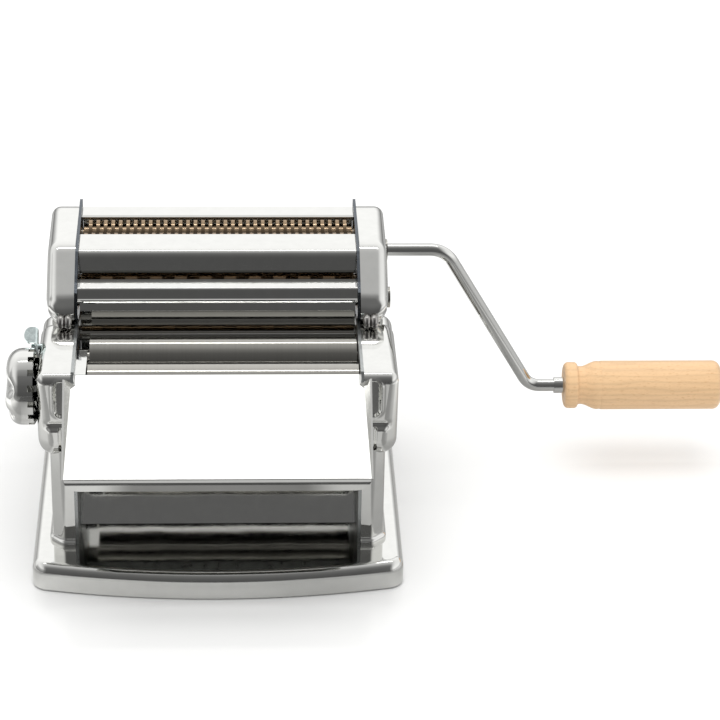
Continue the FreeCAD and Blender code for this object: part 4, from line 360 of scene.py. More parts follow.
def unit(vectors):
    """Each vector divided by its own length."""
    return vectors / np.linalg.norm(vectors, axis=-1, keepdims=True)


def smooth(value, start, end):
    """Smoothstep: 0 before start, 1 after end, and 3 t squared less 2 t cubed between."""
    t = np.clip((value - start) / (end - start), 0.0, 1.0)
    return t * t * (3 - 2 * t)


ARC_STEP = 0.14  # the widest turn between two points of a rounded corner, in radians


def rounded_path(corners, closed):
    """Points, outward normals and carried values along a polygon with rounded corners.

    A corner is (y, z, radius, value, step): its arc begins its radius times the tangent of half the turn
    before it, the value is carried along and the run after it is cut into steps. The outside lies to the
    right of the way that the corners go.
    """
    table = np.array(corners, dtype=float)
    spots, radii, carried, steps = table[:, :2], table[:, 2], table[:, 3], table[:, 4]
    count = len(corners)
    runs = np.roll(spots, -1, axis=0) - spots
    heading = np.arctan2(runs[:, 1], runs[:, 0])
    turns = (heading - np.roll(heading, 1) + np.pi) % (2 * np.pi) - np.pi
    if not closed:
        turns[[0, -1]] = 0.0
    cuts = radii * np.tan(np.abs(turns) / 2)
    points, normals, values = [], [], []
    for i in range(count):
        before = heading[i - 1] if closed or i else heading[0]
        if closed or 0 < i < count - 1:
            angles = before + turns[i] * np.linspace(0, 1, 2 + int(abs(turns[i]) / ARC_STEP))
            outward = np.column_stack([np.sin(angles), -np.cos(angles)])
            start = spots[i] - cuts[i] * np.array([math.cos(before), math.sin(before)])
            arc = start + (np.sign(turns[i]) or 1.0) * radii[i] * (outward - outward[:1])
        else:
            outward = np.array([[math.sin(before), -math.cos(before)]])
            arc = spots[i:i + 1]
        points.append(arc)
        normals.append(outward)
        values.append(np.full(len(arc), carried[i]))
        if closed or i < count - 1:
            onward = (i + 1) % count
            first, last = arc[-1], spots[onward] - cuts[onward] * unit(runs[i])
            share = np.linspace(0, 1, 2 + int(np.linalg.norm(last - first) / steps[i]))[1:-1, None]
            points.append(first + (last - first) * share)
            normals.append(np.tile([[math.sin(heading[i]), -math.cos(heading[i])]], (len(share), 1)))
            values.append(carried[i] + (carried[onward] - carried[i]) * share[:, 0])
    return np.vstack(points), np.vstack(normals), np.concatenate(values)


def mesh_piece(name, points, faces):
    """A piece made of points, in millimetres, and faces."""
    mesh = bpy.data.meshes.new(name)
    mesh.from_pydata((points * MM).tolist(), [], faces)
    made = bpy.data.objects.new(name, mesh)
    bpy.context.scene.collection.objects.link(made)
    return made


def grid_piece(name, rows, wrap=True, caps=(True, True)):
    """A piece whose rows of points, in millimetres, are joined by quads; a cap closes an end row."""
    rows = np.asarray(rows, dtype=float)
    count, width = rows.shape[:2]
    here = np.arange(width if wrap else width - 1)
    onward = (here + 1) % width
    base = np.arange(count - 1)[:, None] * width
    quads = np.stack([base + here, base + onward, base + width + onward, base + width + here], axis=-1)
    faces = quads.reshape(-1, 4).tolist()
    if caps[0]:
        faces.append(list(range(width - 1, -1, -1)))
    if caps[1]:
        faces.append(list(range((count - 1) * width, count * width)))
    return mesh_piece(name, rows.reshape(-1, 3), faces)


def apply_modifiers(piece):
    """Keeps what the modifiers make as the piece's own mesh."""
    depsgraph = bpy.context.evaluated_depsgraph_get()
    mesh = bpy.data.meshes.new_from_object(piece.evaluated_get(depsgraph))
    piece.modifiers.clear()
    piece.data = mesh


def thicken(piece, wall, even=False):
    """Gives a surface its wall, inwards; even keeps the wall's thickness round sharp corners."""
    shell = piece.modifiers.new("wall", "SOLIDIFY")
    shell.thickness = wall
    shell.offset = -1.0
    shell.use_even_offset = even
    apply_modifiers(piece)


def settle(piece, body, node, sharp=32, material="chromium_plate"):
    """Shades a piece smooth but for edges sharper than an angle, and puts it in its node's place."""
    piece.data.shade_smooth()
    piece.data.set_sharp_from_angle(angle=math.radians(sharp))
    piece.data.materials.clear()
    piece.data.materials.append(material_of(material))
    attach(piece, body)
    if node:
        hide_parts(node)


def bent_sheet(name, corners, wall, reach):
    """Sheet of one thickness: a rounded path in (y, z), its copy moved in by the wall, carried along X."""
    points, normals, _ = rounded_path([(y, z, radius, 0.0, 1.5) for y, z, radius in corners], False)
    strip = np.vstack([points, (points - normals * wall)[::-1]])
    # Rows close to both ends keep the ends' edges crisp.
    along = np.array([-reach, 0.3 - reach, 0.0, reach - 0.3, reach])
    rows = np.stack([np.column_stack([np.full(len(strip), x), strip]) for x in along])
    return grid_piece(name, rows)


PRESS_STEP = 0.32  # millimetres between the rows that carry the pressed relief


def cover_shell(name, side, corners, inner, outer, relief, taper=lambda y, z: 0.0):
    """A drawn cover: an outline in (y, z) whose wall runs out along X and turns over into a flat face.

    The turn is a quarter circle of the outline's carried radius. Relief moves the wall's front, where the
    normal looks along -Y, by a height over (x, z), and taper draws points in along X by a share over (y, z).
    """
    points, normals, turn = rounded_path(corners, True)
    # Rows: along the wall, round the turn, and one just inside the face's edge, which keeps that edge crisp.
    wall = np.linspace(0, 1, 1 + int((outer - inner) / PRESS_STEP))[:, None]
    angle = np.linspace(0, np.pi / 2, 9)[1:, None]
    across = np.vstack([inner + (outer - turn - inner) * wall, outer - turn + turn * np.sin(angle),
                        np.full((1, len(turn)), outer)])
    inset = np.vstack([0.0 * turn * wall, turn * (1 - np.cos(angle)), turn[None, :] + 0.25])
    # The relief dies out where the front turns away round the outline's corners.
    front = np.clip(-normals[:, 0], 0, 1) ** 6
    y = points[:, 0] - normals[:, 0] * inset
    z = points[:, 1] - normals[:, 1] * inset
    height = relief(across, z) * front
    y = y + normals[:, 0] * height
    z = z + normals[:, 1] * height
    across = inner + (across - inner) * (1 - taper(y, z))
    rows = np.stack([side * across, y, z], axis=-1)
    return grid_piece(name, rows if side > 0 else rows[:, ::-1], caps=(False, True))


def drilled(piece, holes, side, reach):
    """Drills a piece along X at holes given as (y, z, radius)."""
    turn = np.linspace(0, 2 * np.pi, 40, endpoint=False)[::side]
    for y, z, radius in holes:
        ring = np.column_stack([y + radius * np.cos(turn), z + radius * np.sin(turn)])
        rows = np.stack([np.column_stack([np.full(len(turn), side * x), ring]) for x in reach])
        drill = grid_piece("drill", rows)
        cutter = piece.modifiers.new("hole", "BOOLEAN")
        cutter.operation = "DIFFERENCE"
        cutter.solver = "EXACT"
        cutter.object = drill
        apply_modifiers(piece)
        bpy.data.objects.remove(drill)


def disc(name, radius, rings, sectors):
    """A flat disc, in millimetres: rings of points whose radius grows with the square of their number."""
    step = (np.arange(1, rings + 1) / rings) ** 2 * radius
    turn = np.linspace(0, 2 * np.pi, sectors, endpoint=False)
    x = np.outer(step, np.cos(turn)).ravel()
    y = np.outer(step, np.sin(turn)).ravel()
    points = np.vstack([[[0.0, 0.0, 0.0]], np.column_stack([x, y, np.zeros(x.size)])])
    here = np.arange(sectors)
    onward = (here + 1) % sectors
    faces = [(0, a + 1, b + 1) for a, b in zip(here, onward)]
    for ring in range(rings - 1):
        low = 1 + ring * sectors
        faces += [(low + a, low + sectors + a, low + sectors + b, low + b) for a, b in zip(here, onward)]
    return mesh_piece(name, points, faces)


def corner_of(node):
    """Lowest and highest corner of a node at rest, in millimetres."""
    low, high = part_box(node)
    return np.array(low) / MM, np.array(high) / MM


class PASTA_OT_hoods(bpy.types.Operator):
    """Bends the middle hood, the front hood and the apron from one sheet thickness"""

    bl_idname = "pasta.hoods"
    bl_label = "Bend the Hoods"

    def execute(self, context):
        sizes = context.scene.pasta_sizes
        wall = sizes.hood_sheet / MM
        low, high = corner_of("middle_hood")
        lean = sizes.hood_lean / MM
        middle = [(high[1], high[2], 0), (low[1] + 1.1, high[2], sizes.hood_bend / MM),
                  (low[1] + 1.1 - lean, low[2] + 0.4, 0)]
        piece = bent_sheet("middle_hood_sheet", middle, wall, high[0])
        settle(piece, "cutter_attachment", "middle_hood", 50)
        low, high = corner_of("front_hood")
        front = [(high[1], high[2], 0), (low[1] + 1.9, high[2], 1.5), (low[1] + 0.4, high[2] - 5.4, 0.5),
                 (low[1] - 0.4, high[2] - 5.8, 0.35), (low[1] - 0.6, high[2] - 7.4, 0)]
        piece = bent_sheet("front_hood_sheet", front, wall, high[0])
        settle(piece, "cutter_attachment", "front_hood", 50)
        low, high = corner_of("cutter_apron")
        face = low[1]
        apron = [(face + 2.6, high[2], 0), (face - 0.2, high[2] - 9.2, 0.8),
                 (face + 0.6, high[2] - 14.6, 0.6), (face + 0.1, low[2] + 1.4, 0.9),
                 (face + 1.4, low[2] + 0.1, 0.4), (high[1], low[2], 0)]
        piece = bent_sheet("cutter_apron_sheet", apron, wall, high[0])
        settle(piece, "cutter_attachment", "cutter_apron", 50)
        return {"FINISHED"}


class PASTA_OT_side_covers(bpy.types.Operator):
    """Draws the two side covers, with a recessed panel, a crease and a bulge pressed in the front"""

    bl_idname = "pasta.side_covers"
    bl_label = "Draw the Side Covers"

    def execute(self, context):
        sizes = context.scene.pasta_sizes
        low, high = corner_of("side_cover_right")
        # The cutter attachment stands on the seat, which ends at the step.
        seat, step = high[2] - 5.5, -1.3
        corners = [(low[1], low[2], FOOT_CORNER, 8.5, 4), (high[1], low[2], FOOT_CORNER, 6.5, 4),
                   (high[1], seat, 7, 6.5, 4), (step, seat, 3, 6.5, 2), (step - 5.5, high[2], 7.2, 6.5, 4),
                   (low[1], high[2], 5.0, 4.7, PRESS_STEP)]
        # The panel's outer edge, foot, head and corner radius, and the height of the crease below it.
        edge, foot, head, corner, fold = high[0] - 8.6, 92.4, high[2] - 3.0, 4.0, 88.6

        def relief(x, z):
            """A panel whose floor deepens upwards, a bead round it, and a crease and a bulge below it."""
            beyond = np.stack([x - edge + corner, np.maximum(foot + corner - z, z - head + corner)])
            reach = np.linalg.norm(np.maximum(beyond, 0), axis=0) + np.minimum(beyond.max(axis=0), 0) - corner
            floor = sizes.panel_depth / MM * (0.12 + 0.88 * (z - foot) / (head - foot))
            bead = sizes.panel_border / MM * np.exp(-((reach - 0.3) / 0.8) ** 2)
            panel = -floor * smooth(-reach, 0.0, 1.5) + bead
            crease = -0.9 * np.exp(-((z - fold) / 1.2) ** 2) * smooth(x, high[0] - 3, high[0] - 8)
            bulge = smooth(x, high[0] - 12.5, high[0] - 10.5) * smooth(x, high[0] - 3.5, high[0] - 6.5)
            bulge = sizes.bulge_height / MM * bulge * smooth(z, 66, 71) * smooth(z, 87.0, 84.4)
            return panel + crease + bulge

        holes = {1: [(*DRIVE_SHAFT, 7.6), (*COVER_SCREW, 2.3)],
                 -1: [(*DIAL_SHAFT, 6.0), (*LEVER_PIVOT, 1.7), (*COVER_SCREW, 2.3)]}
        for side, name in ((1, "right"), (-1, "left")):
            piece = cover_shell(f"side_cover_{name}_drawn", side, corners, low[0], high[0], relief)
            thicken(piece, sizes.shell_wall, even=True)
            drilled(piece, holes[side], side, (high[0] - 6, high[0] + 4))
            settle(piece, "body", f"side_cover_{name}")
        return {"FINISHED"}


class PASTA_OT_end_covers(bpy.types.Operator):
    """Draws the two covers of the cutter attachment, which narrow towards their noses"""

    bl_idname = "pasta.end_covers"
    bl_label = "Draw the Cutter End Covers"

    def execute(self, context):
        sizes = context.scene.pasta_sizes
        low, high = corner_of("cutter_end_cover_right")
        # The outline goes under the nose, over the side cover's step and seat, and down to the foot.
        nose, rear = low[1], high[1]
        under, seat, foot = 117.4, 110.8, low[2]
        corners = [(nose, under, 3.8, 3.4, 0.8), (-0.7, under, 0.5, 3.6, 2), (-0.7, seat, 4.3, 4, 4),
                   (18.3, seat, 0.5, 4, 4), (18.3, foot, 4.3, 4, 4), (rear - 2, foot, 5, 4, 4),
                   (rear, 132, 9, 4.5, 4), (rear - 12, high[2] - 0.7, 9, 5, 4), (22, high[2], 14, 6.5, 1.2),
                   (nose + 5, 130.5, 12, 7, 0.8), (nose, 124.5, 8, 5, 0.8)]

        def relief(x, z):
            """The front is a shallow barrel, highest a third of the way in from the outer edge."""
            middle = high[0] - 8.5
            return 0.55 * np.exp(-((x - middle) / 4.5) ** 2)

        def taper(y, z):
            """The share of its width by which the cover narrows, full at the foot of the nose."""
            share = sizes.nose_taper / MM / (high[0] - low[0])
            return share * smooth(z, 127.0, 116.5) * smooth(y, 12.0, -4.0)

        for side, name in ((1, "right"), (-1, "left")):
            piece = cover_shell(
                f"cutter_end_cover_{name}_drawn", side, corners, low[0], high[0], relief, taper)
            thicken(piece, sizes.shell_wall, even=True)
            if side > 0:
                sockets = [(*FINE_SOCKET, 6.1), (*WIDE_SOCKET, 6.1)]
                drilled(piece, sockets, side, (high[0] - 6, high[0] + 4))
            settle(piece, "cutter_attachment", f"cutter_end_cover_{name}")
        return {"FINISHED"}


class PASTA_OT_legs(bpy.types.Operator):
    """Draws the two leg shells: soft cornered channels with a rim round the foot"""

    bl_idname = "pasta.legs"
    bl_label = "Draw the Legs"

    def execute(self, context):
        # A channel's plan is carried up; each row of it grows outwards by the profile of the rim.
        low, high = corner_of("leg_shell_right")
        rim = 1.6
        front, rear, outer = low[1] + rim, high[1] - rim, high[0] - rim
        chamfer, soft = 5.8, 5.0
        plan = [(low[0], front, 0, 0, 3), (outer - chamfer, front, soft, 0, 3),
                (outer, front + chamfer, soft, 0, 4), (outer, rear - chamfer, soft, 0, 3),
                (outer - chamfer, rear, soft, 0, 3), (low[0], rear, 0, 0, 3)]
        points, normals, _ = rounded_path(plan, False)
        x, y = points.T
        # The top follows the rounded lower corner of the side cover, so no gap shows between them.
        cover = corner_of("side_cover_right")[0]
        back = np.clip(cover[1] + FOOT_CORNER - y, 0, FOOT_CORNER)
        arch = cover[2] + FOOT_CORNER - np.sqrt(FOOT_CORNER ** 2 - back ** 2)
        head = np.where(back > 0, arch + 0.7, high[2])
        # Rows by how far they rise above the foot and grow out from the channel.
        profile = [(0.0, rim), (1.7, rim), (2.3, rim * 0.8), (2.7, rim * 0.4), (3.4, 0.1), (4.2, 0.0)]
        profile += [(rise, 0.0) for rise in np.linspace(8, high[2] - low[2] - 2, 10)] + [(0, 0)]
        rise, grow = np.array(profile).T
        z = low[2] + np.repeat(rise[:, None], len(x), axis=1)
        z[-1] = head
        for side, name in ((1, "right"), (-1, "left")):
            out = x + normals[:, 0] * grow[:, None]
            rows = np.stack([side * out, y + normals[:, 1] * grow[:, None], z], axis=-1)
            rows = rows if side > 0 else rows[:, ::-1]
            piece = grid_piece(f"leg_{name}_drawn", rows, False, (False, False))
            thicken(piece, context.scene.pasta_sizes.shell_wall)
            settle(piece, "body", f"leg_shell_{name}", 40)
        return {"FINISHED"}


class PASTA_OT_tray(bpy.types.Operator):
    """Folds the dough tray: a sloping floor with two leaning cheeks, a rolled front edge and two gussets"""

    bl_idname = "pasta.tray"
    bl_label = "Fold the Dough Tray"

    def execute(self, context):
        # A point is so far down the slope and so far across it; past the floor it rounds the hem and falls.
        low, high = corner_of("dough_tray")
        slope = math.radians(40)
        # Down the slope: the floor, its narrow tongue at the back, the hem's bend and its straight edge.
        length, tongue, roll, drop = 55.8, 5.9, 4.0, 3.0
        # Half widths of the tongue, of the floor's back and of its front.
        narrow, back, front = 71.6, 73.9, high[0]
        back_y, back_z = high[1] - 0.64, 115.2
        floor = np.concatenate([np.linspace(0, tongue - 0.3, 3), np.linspace(tongue, length, 30)])
        turn = np.pi / 2 - slope
        hem = np.concatenate([np.linspace(0, roll * turn, 10)[1:], roll * turn + np.linspace(0, drop, 7)[1:]])
        along = np.concatenate([floor, length + hem])
        run = np.minimum(along, length)
        half = np.where(run < tongue, narrow, back + (front - back) * (run - tongue) / (length - tongue))
        cheek = np.where(run < tongue, 0.3, 9.0 * (length - run) / (length - tongue)) + 0.02
        # Across: up a cheek, over the floor from edge to edge, and up the other cheek.
        edge = 1 - (1 - np.cos(np.linspace(0, np.pi / 2, 12))) * 8.0 / front
        across = np.concatenate([-edge, np.linspace(-edge[-1], edge[-1], 24)[1:-1], edge[::-1]])
        up = np.linspace(1, 0, 5)[:-1]
        level = np.concatenate([-np.ones(4), across, np.ones(4)])
        climb = np.concatenate([up, np.zeros(len(across)), up[::-1]])
        x = half[:, None] * level + np.sign(level) * 0.3 * climb * cheek[:, None]
        # The hem is cut to a quarter ellipse at both ends, 8 mm wide.
        near = np.clip((np.abs(level) - edge[-1]) / (1 - edge[-1]), 0, 1)
        share = np.sqrt(np.clip(1 - near ** 2, 0.0004, 1))
        beyond = np.maximum(along[:, None] - length, 0) * share
        angle = np.minimum(beyond / roll, turn)
        fall = np.maximum(beyond - roll * turn, 0)
        y = back_y - run[:, None] * math.cos(slope) + roll * (math.sin(slope) - np.sin(slope + angle))
        z = back_z - run[:, None] * math.sin(slope) + roll * (np.cos(slope + angle) - math.cos(slope)) - fall
        y = y - climb * cheek[:, None] * math.sin(slope)
        z = z + climb * cheek[:, None] * math.cos(slope)
        piece = grid_piece("dough_tray_folded", np.stack([x, y, z], axis=-1)[::-1], False, (False, False))
        thicken(piece, context.scene.pasta_sizes.hood_sheet)
        settle(piece, "tray", "dough_tray", 40)
        # A gusset hangs under the floor, from near the covers to halfway down the slope.
        below = 0.8
        (near_y, near_z), (far_y, far_z) = (
            (back_y - way * math.cos(slope), back_z - way * math.sin(slope) - below) for way in (6.5, 27.9))
        post = corner_of("side_cover_right")[0][1] - 0.3
        outline = rounded_path([
            (near_y, near_z, 0.3, 0, 3), (far_y, far_z, 0.5, 0, 3), (post, far_z + 2, 2, 0, 3),
            (post, near_z - 1.2, 0.3, 0, 3)], True)[0]
        inner, outer = 73.3, 74.3
        for side, name in ((1, "right"), (-1, "left")):
            ends = sorted((side * inner, side * outer))
            rows = np.stack([np.column_stack([np.full(len(outline), end), outline]) for end in ends])
            settle(grid_piece(f"tray_gusset_{name}", rows), "tray", None, 40)
        return {"FINISHED"}


class PASTA_OT_dial(bpy.types.Operator):
    """Casts the domed dial, with a crown of notches, a grip bar and a scoop on either side of it"""

    bl_idname = "pasta.dial"
    bl_label = "Cast the Dial"

    def execute(self, context):
        # A profile of radius and depth is turned round the axis; the notches cut its rim, and two hollows,
        # each a bell curve of the distance from the grip bar's middle, sink its face.
        low, high = corner_of("dial_knob")
        centre_y, centre_z = (low[1:] + high[1:]) / 2
        radius = (high[1] - low[1]) / 2
        inner, outer, dome = high[0], low[0], 8.5
        # A notch's angle, depth and bite into the rim; one of the notches faces the lever's pivot.
        notch, depth, bite, count = 3.4 / radius, 2.7, 5.0, 15
        first = math.atan2(LEVER_PIVOT[1] - centre_z, LEVER_PIVOT[0] - centre_y)
        pitch = 2 * np.pi / count
        local = np.array([-pitch / 2, -pitch / 3, -notch / 2 - 0.002, -notch / 2 + 0.002, 0.0,
                          notch / 2 - 0.002, notch / 2 + 0.002, pitch / 3])
        angle = (first + np.arange(count)[:, None] * pitch + local).ravel()
        bitten = np.tile(np.abs(local) < notch / 2, count)
        # The profile's rows: radius, place along X, and whether the notches cut them.
        rim = [(radius, inner, 1), (radius, inner - depth + 0.05, 1), (radius, inner - depth, 0),
               (radius, outer + dome, 0)]
        bend = np.linspace(0, np.pi / 2, 25)[1:]
        rim += [(radius - dome + dome * math.cos(a), outer + dome - dome * math.sin(a), 0) for a in bend]
        rim += [(r, outer, 0) for r in np.linspace(radius - dome, 0.2, 22)[1:]]
        reach, across, cut = np.array(rim).T
        reach = reach[:, None] - bite * cut[:, None] * bitten
        u = reach * np.cos(angle)
        v = reach * np.sin(angle)
        # The grip bar is a slight S; the scoops lie 8.2 mm to either side of its middle.
        ridge = v - 2.2 * np.sin(u / 7.0)
        scoop = np.exp(-((np.abs(ridge) - 8.2) / 3.4) ** 2) * smooth(reach, radius, radius - 4.0)
        x = across[:, None] + context.scene.pasta_sizes.dial_scoop / MM * scoop
        rows = np.stack([x, centre_y + u, centre_z + v], axis=-1)
        piece = grid_piece("dial_cast", rows[:, ::-1])
        settle(piece, "dial", "dial_knob", 40)
        return {"FINISHED"}


class PASTA_OT_lever(bpy.types.Operator):
    """Bends the lock lever: a flat arm whose sloping top is turned out into a round thumb tab"""

    bl_idname = "pasta.lever"
    bl_label = "Bend the Lock Lever"

    def execute(self, context):
        low, high = corner_of("lock_lever")
        # The wall's thickness, the bend's radius, the length of the round tip and the tab's slope.
        wall, bend, tip, slope = 1.0, 1.8, 3.6, 0.6
        pivot_y, pivot_z = high[1] - 5.0, high[2] - 9.0
        middle, top = high[0] - wall / 2, high[2] - wall / 2
        path = [(middle, pivot_z - 2.5, 0, 0, 0.25), (middle, top, bend, 0, 0.25), (low[0], top, 0, 0, 0.2)]
        points, normals, _ = rounded_path(path, False)
        # A row crosses the sheet along y and falls forwards; the tab's outer end is a half ellipse.
        rise = points[:, 1] - pivot_z
        front = np.interp(rise, [-2.8, 3.8, 6.3, 7.4, 8.4], [3, -8, -8, -4, -3])
        back = np.interp(rise, [-2.8, 0], [3, 5])
        share = np.clip((low[0] + tip - points[:, 0]) / tip, 0, 0.995)
        half = (back - front) / 2 * np.sqrt(1 - share ** 2)
        rows = []
        for out, way in ((1, -1), (1, 1), (-1, 1), (-1, -1)):
            x, z = (points + normals * wall / 2 * out).T
            y = pivot_y + (back + front) / 2 + half * way
            rows.append(np.column_stack([x, y, z + slope * (y - high[1])]))
        rows = np.stack(rows, axis=1)[:, ::-1]
        piece = grid_piece("lock_lever_bent", rows)
        drilled(piece, [(pivot_y, pivot_z, 1.55)], -1, (90, 96))
        settle(piece, "lever", "lock_lever", 40, "bright_zinc_plate")
        return {"FINISHED"}


class PASTA_OT_hooks(bpy.types.Operator):
    """Casts the hooks that hold the attachment on the side covers: two round fingers on each side"""

    bl_idname = "pasta.hooks"
    bl_label = "Cast the Hooks"

    def execute(self, context):
        radius = context.scene.pasta_sizes.hook_radius / MM
        low, high = corner_of("cutter_hooks")
        tip = low[2] + 0.4
        path = [(high[1] + 1.5, high[2] - radius, 0, 0, 0.8),
                (low[1] + radius, high[2] - radius - 0.2, 2.4, 0, 0.5),
                (low[1] + radius + 0.4, tip, 0, 0, 0.5)]
        # Circles round a bent path; near the tip their radius falls to nothing, as a ball's does.
        spine, normal, _ = rounded_path(path, False)
        gone = np.concatenate([[0], np.cumsum(np.linalg.norm(np.diff(spine, axis=0), axis=1))])
        left = np.clip((gone[-1] - gone) / radius, 0.02, 1)
        swell = radius * np.sqrt(1 - (1 - left) ** 2)
        turn = np.linspace(0, 2 * np.pi, 24, endpoint=False)
        y = spine[:, :1] + normal[:, :1] * swell[:, None] * np.sin(turn)
        z = spine[:, 1:] + normal[:, 1:] * swell[:, None] * np.sin(turn)
        near, far = high[0] - 8.2 + radius, high[0] - radius - 0.2
        for i, place in enumerate((-far, -near, far, near)):
            x = place + swell[:, None] * np.cos(turn)
            finger = grid_piece(f"hook_finger_{i}", np.stack([x, y, z], axis=-1))
            # The fingers take the darker chrome, whose painted shade stands in for their dark reflections.
            settle(finger, "cutter_attachment", None if i else "cutter_hooks", 50, "dark_nickel_plate")
        return {"FINISHED"}


def white_table(colours):
    """White lacquered table. Mirrors see it with painted light and shade: dimmer in front of, beside, right
    of and behind the machine, brighter further out to the sides.
    """
    material, tree, shader, place = finish("white_table", {"Roughness": 0.16})
    # The lacquer's gloss changes in clouds 11 mm across.
    grain = add(tree, "ShaderNodeTexNoise", {"Vector": place, "Scale": 90.0, "Detail": 3.0})
    rough = add(tree, "ShaderNodeMapRange", {"Value": grain.outputs["Fac"], "To Min": 0.14, "To Max": 0.2})
    spot = add(tree, "ShaderNodeSeparateXYZ", {0: place})
    x, y = spot.outputs["X"], spot.outputs["Y"]
    sideways = add(tree, "ShaderNodeMath", {0: x, 1: 0.0}, operation="ABSOLUTE").outputs[0]
    # Each row is a smooth passage along one of these, in metres, and the shares of painted light before and
    # after, which only mirrors see.
    painted_light_shares = [add(tree, "ShaderNodeMapRange", {
        "Value": along, "From Min": start, "From Max": end, "To Min": before, "To Max": after},
        interpolation_type="SMOOTHSTEP").outputs["Result"] for along, start, end, before, after in (
            (sideways, 0.045, 0.07, 0.36, 1.0),  # painted shade: the dim strip that the rollers mirror
            (y, -0.13, -0.2, 0.0, 1.0),  # where that painted shade begins
            (y, -0.08, -0.112, 1.0, 0.76),  # painted shade ahead of the machine
            (y, -0.27, -0.42, 1.0, 0.3),  # deeper painted shade further ahead
            (sideways, 0.09, 0.12, 1.0, 0.5),  # painted shade beside the machine
            (sideways, 0.16, 0.33, 1.0, 2.8),  # painted light further out to either side
            (x, 0.0, 0.07, 1.0, 0.8),  # painted shade to the right
            (y, 0.1, 0.3, 1.0, 0.35))]  # painted shade behind
    strip, begun, *painted_light_shares = painted_light_shares
    # The painted light and shade for mirrors: the dim strip where it has begun, times every other share.
    painted_mirror_light = add(tree, "ShaderNodeMix", {"Factor": begun, "A": 1.0, "B": strip}, data_type="FLOAT")
    for share in painted_light_shares:
        painted_mirror_light = add(tree, "ShaderNodeMath", {0: painted_mirror_light.outputs[0], 1: share}, operation="MULTIPLY")
    # Only glossy rays see the painted light and shade; the camera and diffuse light see the table's plain
    # colour.
    path = add(tree, "ShaderNodeLightPath").outputs["Is Glossy Ray"]
    amount = add(tree, "ShaderNodeMix", {"Factor": path, "A": 1.0, "B": painted_mirror_light.outputs[0]}, data_type="FLOAT")
    tint = add(tree, "ShaderNodeMix", {
        "Factor": amount.outputs[0], "A": (0, 0, 0, 1), "B": tuple(colours.table)},
        data_type="RGBA", clamp_factor=False)
    feed(tree, shader, {"Base Color": tint.outputs["Result"], "Roughness": rough.outputs["Result"]})
    return material


def studio_world():
    """Even white light all round. Mirrors see a dim room ahead and white walls behind and beside."""
    world = bpy.data.worlds.new("studio")
    world.use_nodes = True
    world.cycles.sampling_method = "NONE"
    tree = world.node_tree
    tree.nodes.clear()
    direction = add(tree, "ShaderNodeSeparateXYZ", {0: add(tree, "ShaderNodeTexCoord").outputs["Generated"]})
    x, y, z = (direction.outputs[axis] for axis in "XYZ")
    ahead = add(tree, "ShaderNodeMath", {0: y, 1: -1.0}, operation="MULTIPLY")
    climb = add(tree, "ShaderNodeMath", {0: z, 1: ahead.outputs[0]}, operation="ARCTAN2")
    turn = add(tree, "ShaderNodeMath", {0: climb.outputs[0], 1: math.pi}, operation="DIVIDE")
    # Greys of the room by degrees of climb, from straight ahead, over the ceiling, to straight behind.
    greys = [(0.0, 0.06), (30, 0.08), (58, 0.12), (74, 0.22), (85, 0.36), (95, 0.42), (114, 0.6), (132, 0.78),
             (158, 0.82), (168, 0.45), (180, 0.16)]
    arch = add(tree, "ShaderNodeValToRGB", {"Fac": turn.outputs[0]},
               [(angle / 180, (grey, grey, grey, 1)) for angle, grey in greys])
    side = add(tree, "ShaderNodeMath", {0: x, 1: 0.0}, operation="ABSOLUTE").outputs[0]
    # Each row is a smooth passage along one part of the direction, and the greys before and after.
    left_right, low, rear, high, beside = (add(tree, "ShaderNodeMapRange", {
        "Value": along, "From Min": start, "From Max": end, "To Min": before, "To Max": after},
        interpolation_type="SMOOTHSTEP").outputs["Result"] for along, start, end, before, after in (
            (x, -0.6, 0.6, 0.3, 0.75), (z, 0.0, 0.35, 0.55, 1.0), (y, 0.15, 0.4, 0.0, 1.0),
            (z, 0.35, 0.6, 0.0, 1.0), (side, 0.35, 0.8, 0.0, 1.0)))
    bright = add(tree, "ShaderNodeMath", {0: rear, 1: high}, operation="MAXIMUM")
    flank = add(tree, "ShaderNodeMix", {"Factor": bright.outputs[0], "A": left_right, "B": 0.68},
                data_type="FLOAT")
    flank = add(tree, "ShaderNodeMath", {0: flank.outputs[0], 1: low}, operation="MULTIPLY")
    walls = add(tree, "ShaderNodeMix", {"Factor": beside, "A": arch.outputs["Color"], "B": flank.outputs[0]},
                data_type="FLOAT")
    walls = add(tree, "ShaderNodeMath", {0: walls.outputs[0], 1: 1.6}, operation="MULTIPLY")
    path = add(tree, "ShaderNodeLightPath").outputs
    mirrored = add(tree, "ShaderNodeMath", {0: path["Is Glossy Ray"], 1: path["Is Transmission Ray"]},
                   operation="MAXIMUM")
    seen = add(tree, "ShaderNodeMix", {"Factor": mirrored.outputs[0], "A": 0.8, "B": walls.outputs[0]},
               data_type="FLOAT")
    strength = add(tree, "ShaderNodeMix", {"Factor": path["Is Camera Ray"], "A": seen.outputs[0], "B": 1.0},
                   data_type="FLOAT")
    light = add(tree, "ShaderNodeBackground", {"Color": (1, 1, 1, 1), "Strength": strength.outputs[0]})
    add(tree, "ShaderNodeOutputWorld", {"Surface": light.outputs["Background"]})
    bpy.context.scene.world = world


def softbox(name, place, aim, width, height, power):
    """A rectangular soft light, aimed at a point."""
    lamp = bpy.data.lights.new(name, "AREA")
    lamp.shape = "RECTANGLE"
    lamp.size = width
    lamp.size_y = height
    lamp.energy = power
    made = bpy.data.objects.new(name, lamp)
    made.location = place
    made.rotation_euler = (Vector(aim) - Vector(place)).to_track_quat("-Z", "Y").to_euler()
    made.visible_camera = False
    bpy.context.scene.collection.objects.link(made)
    return made


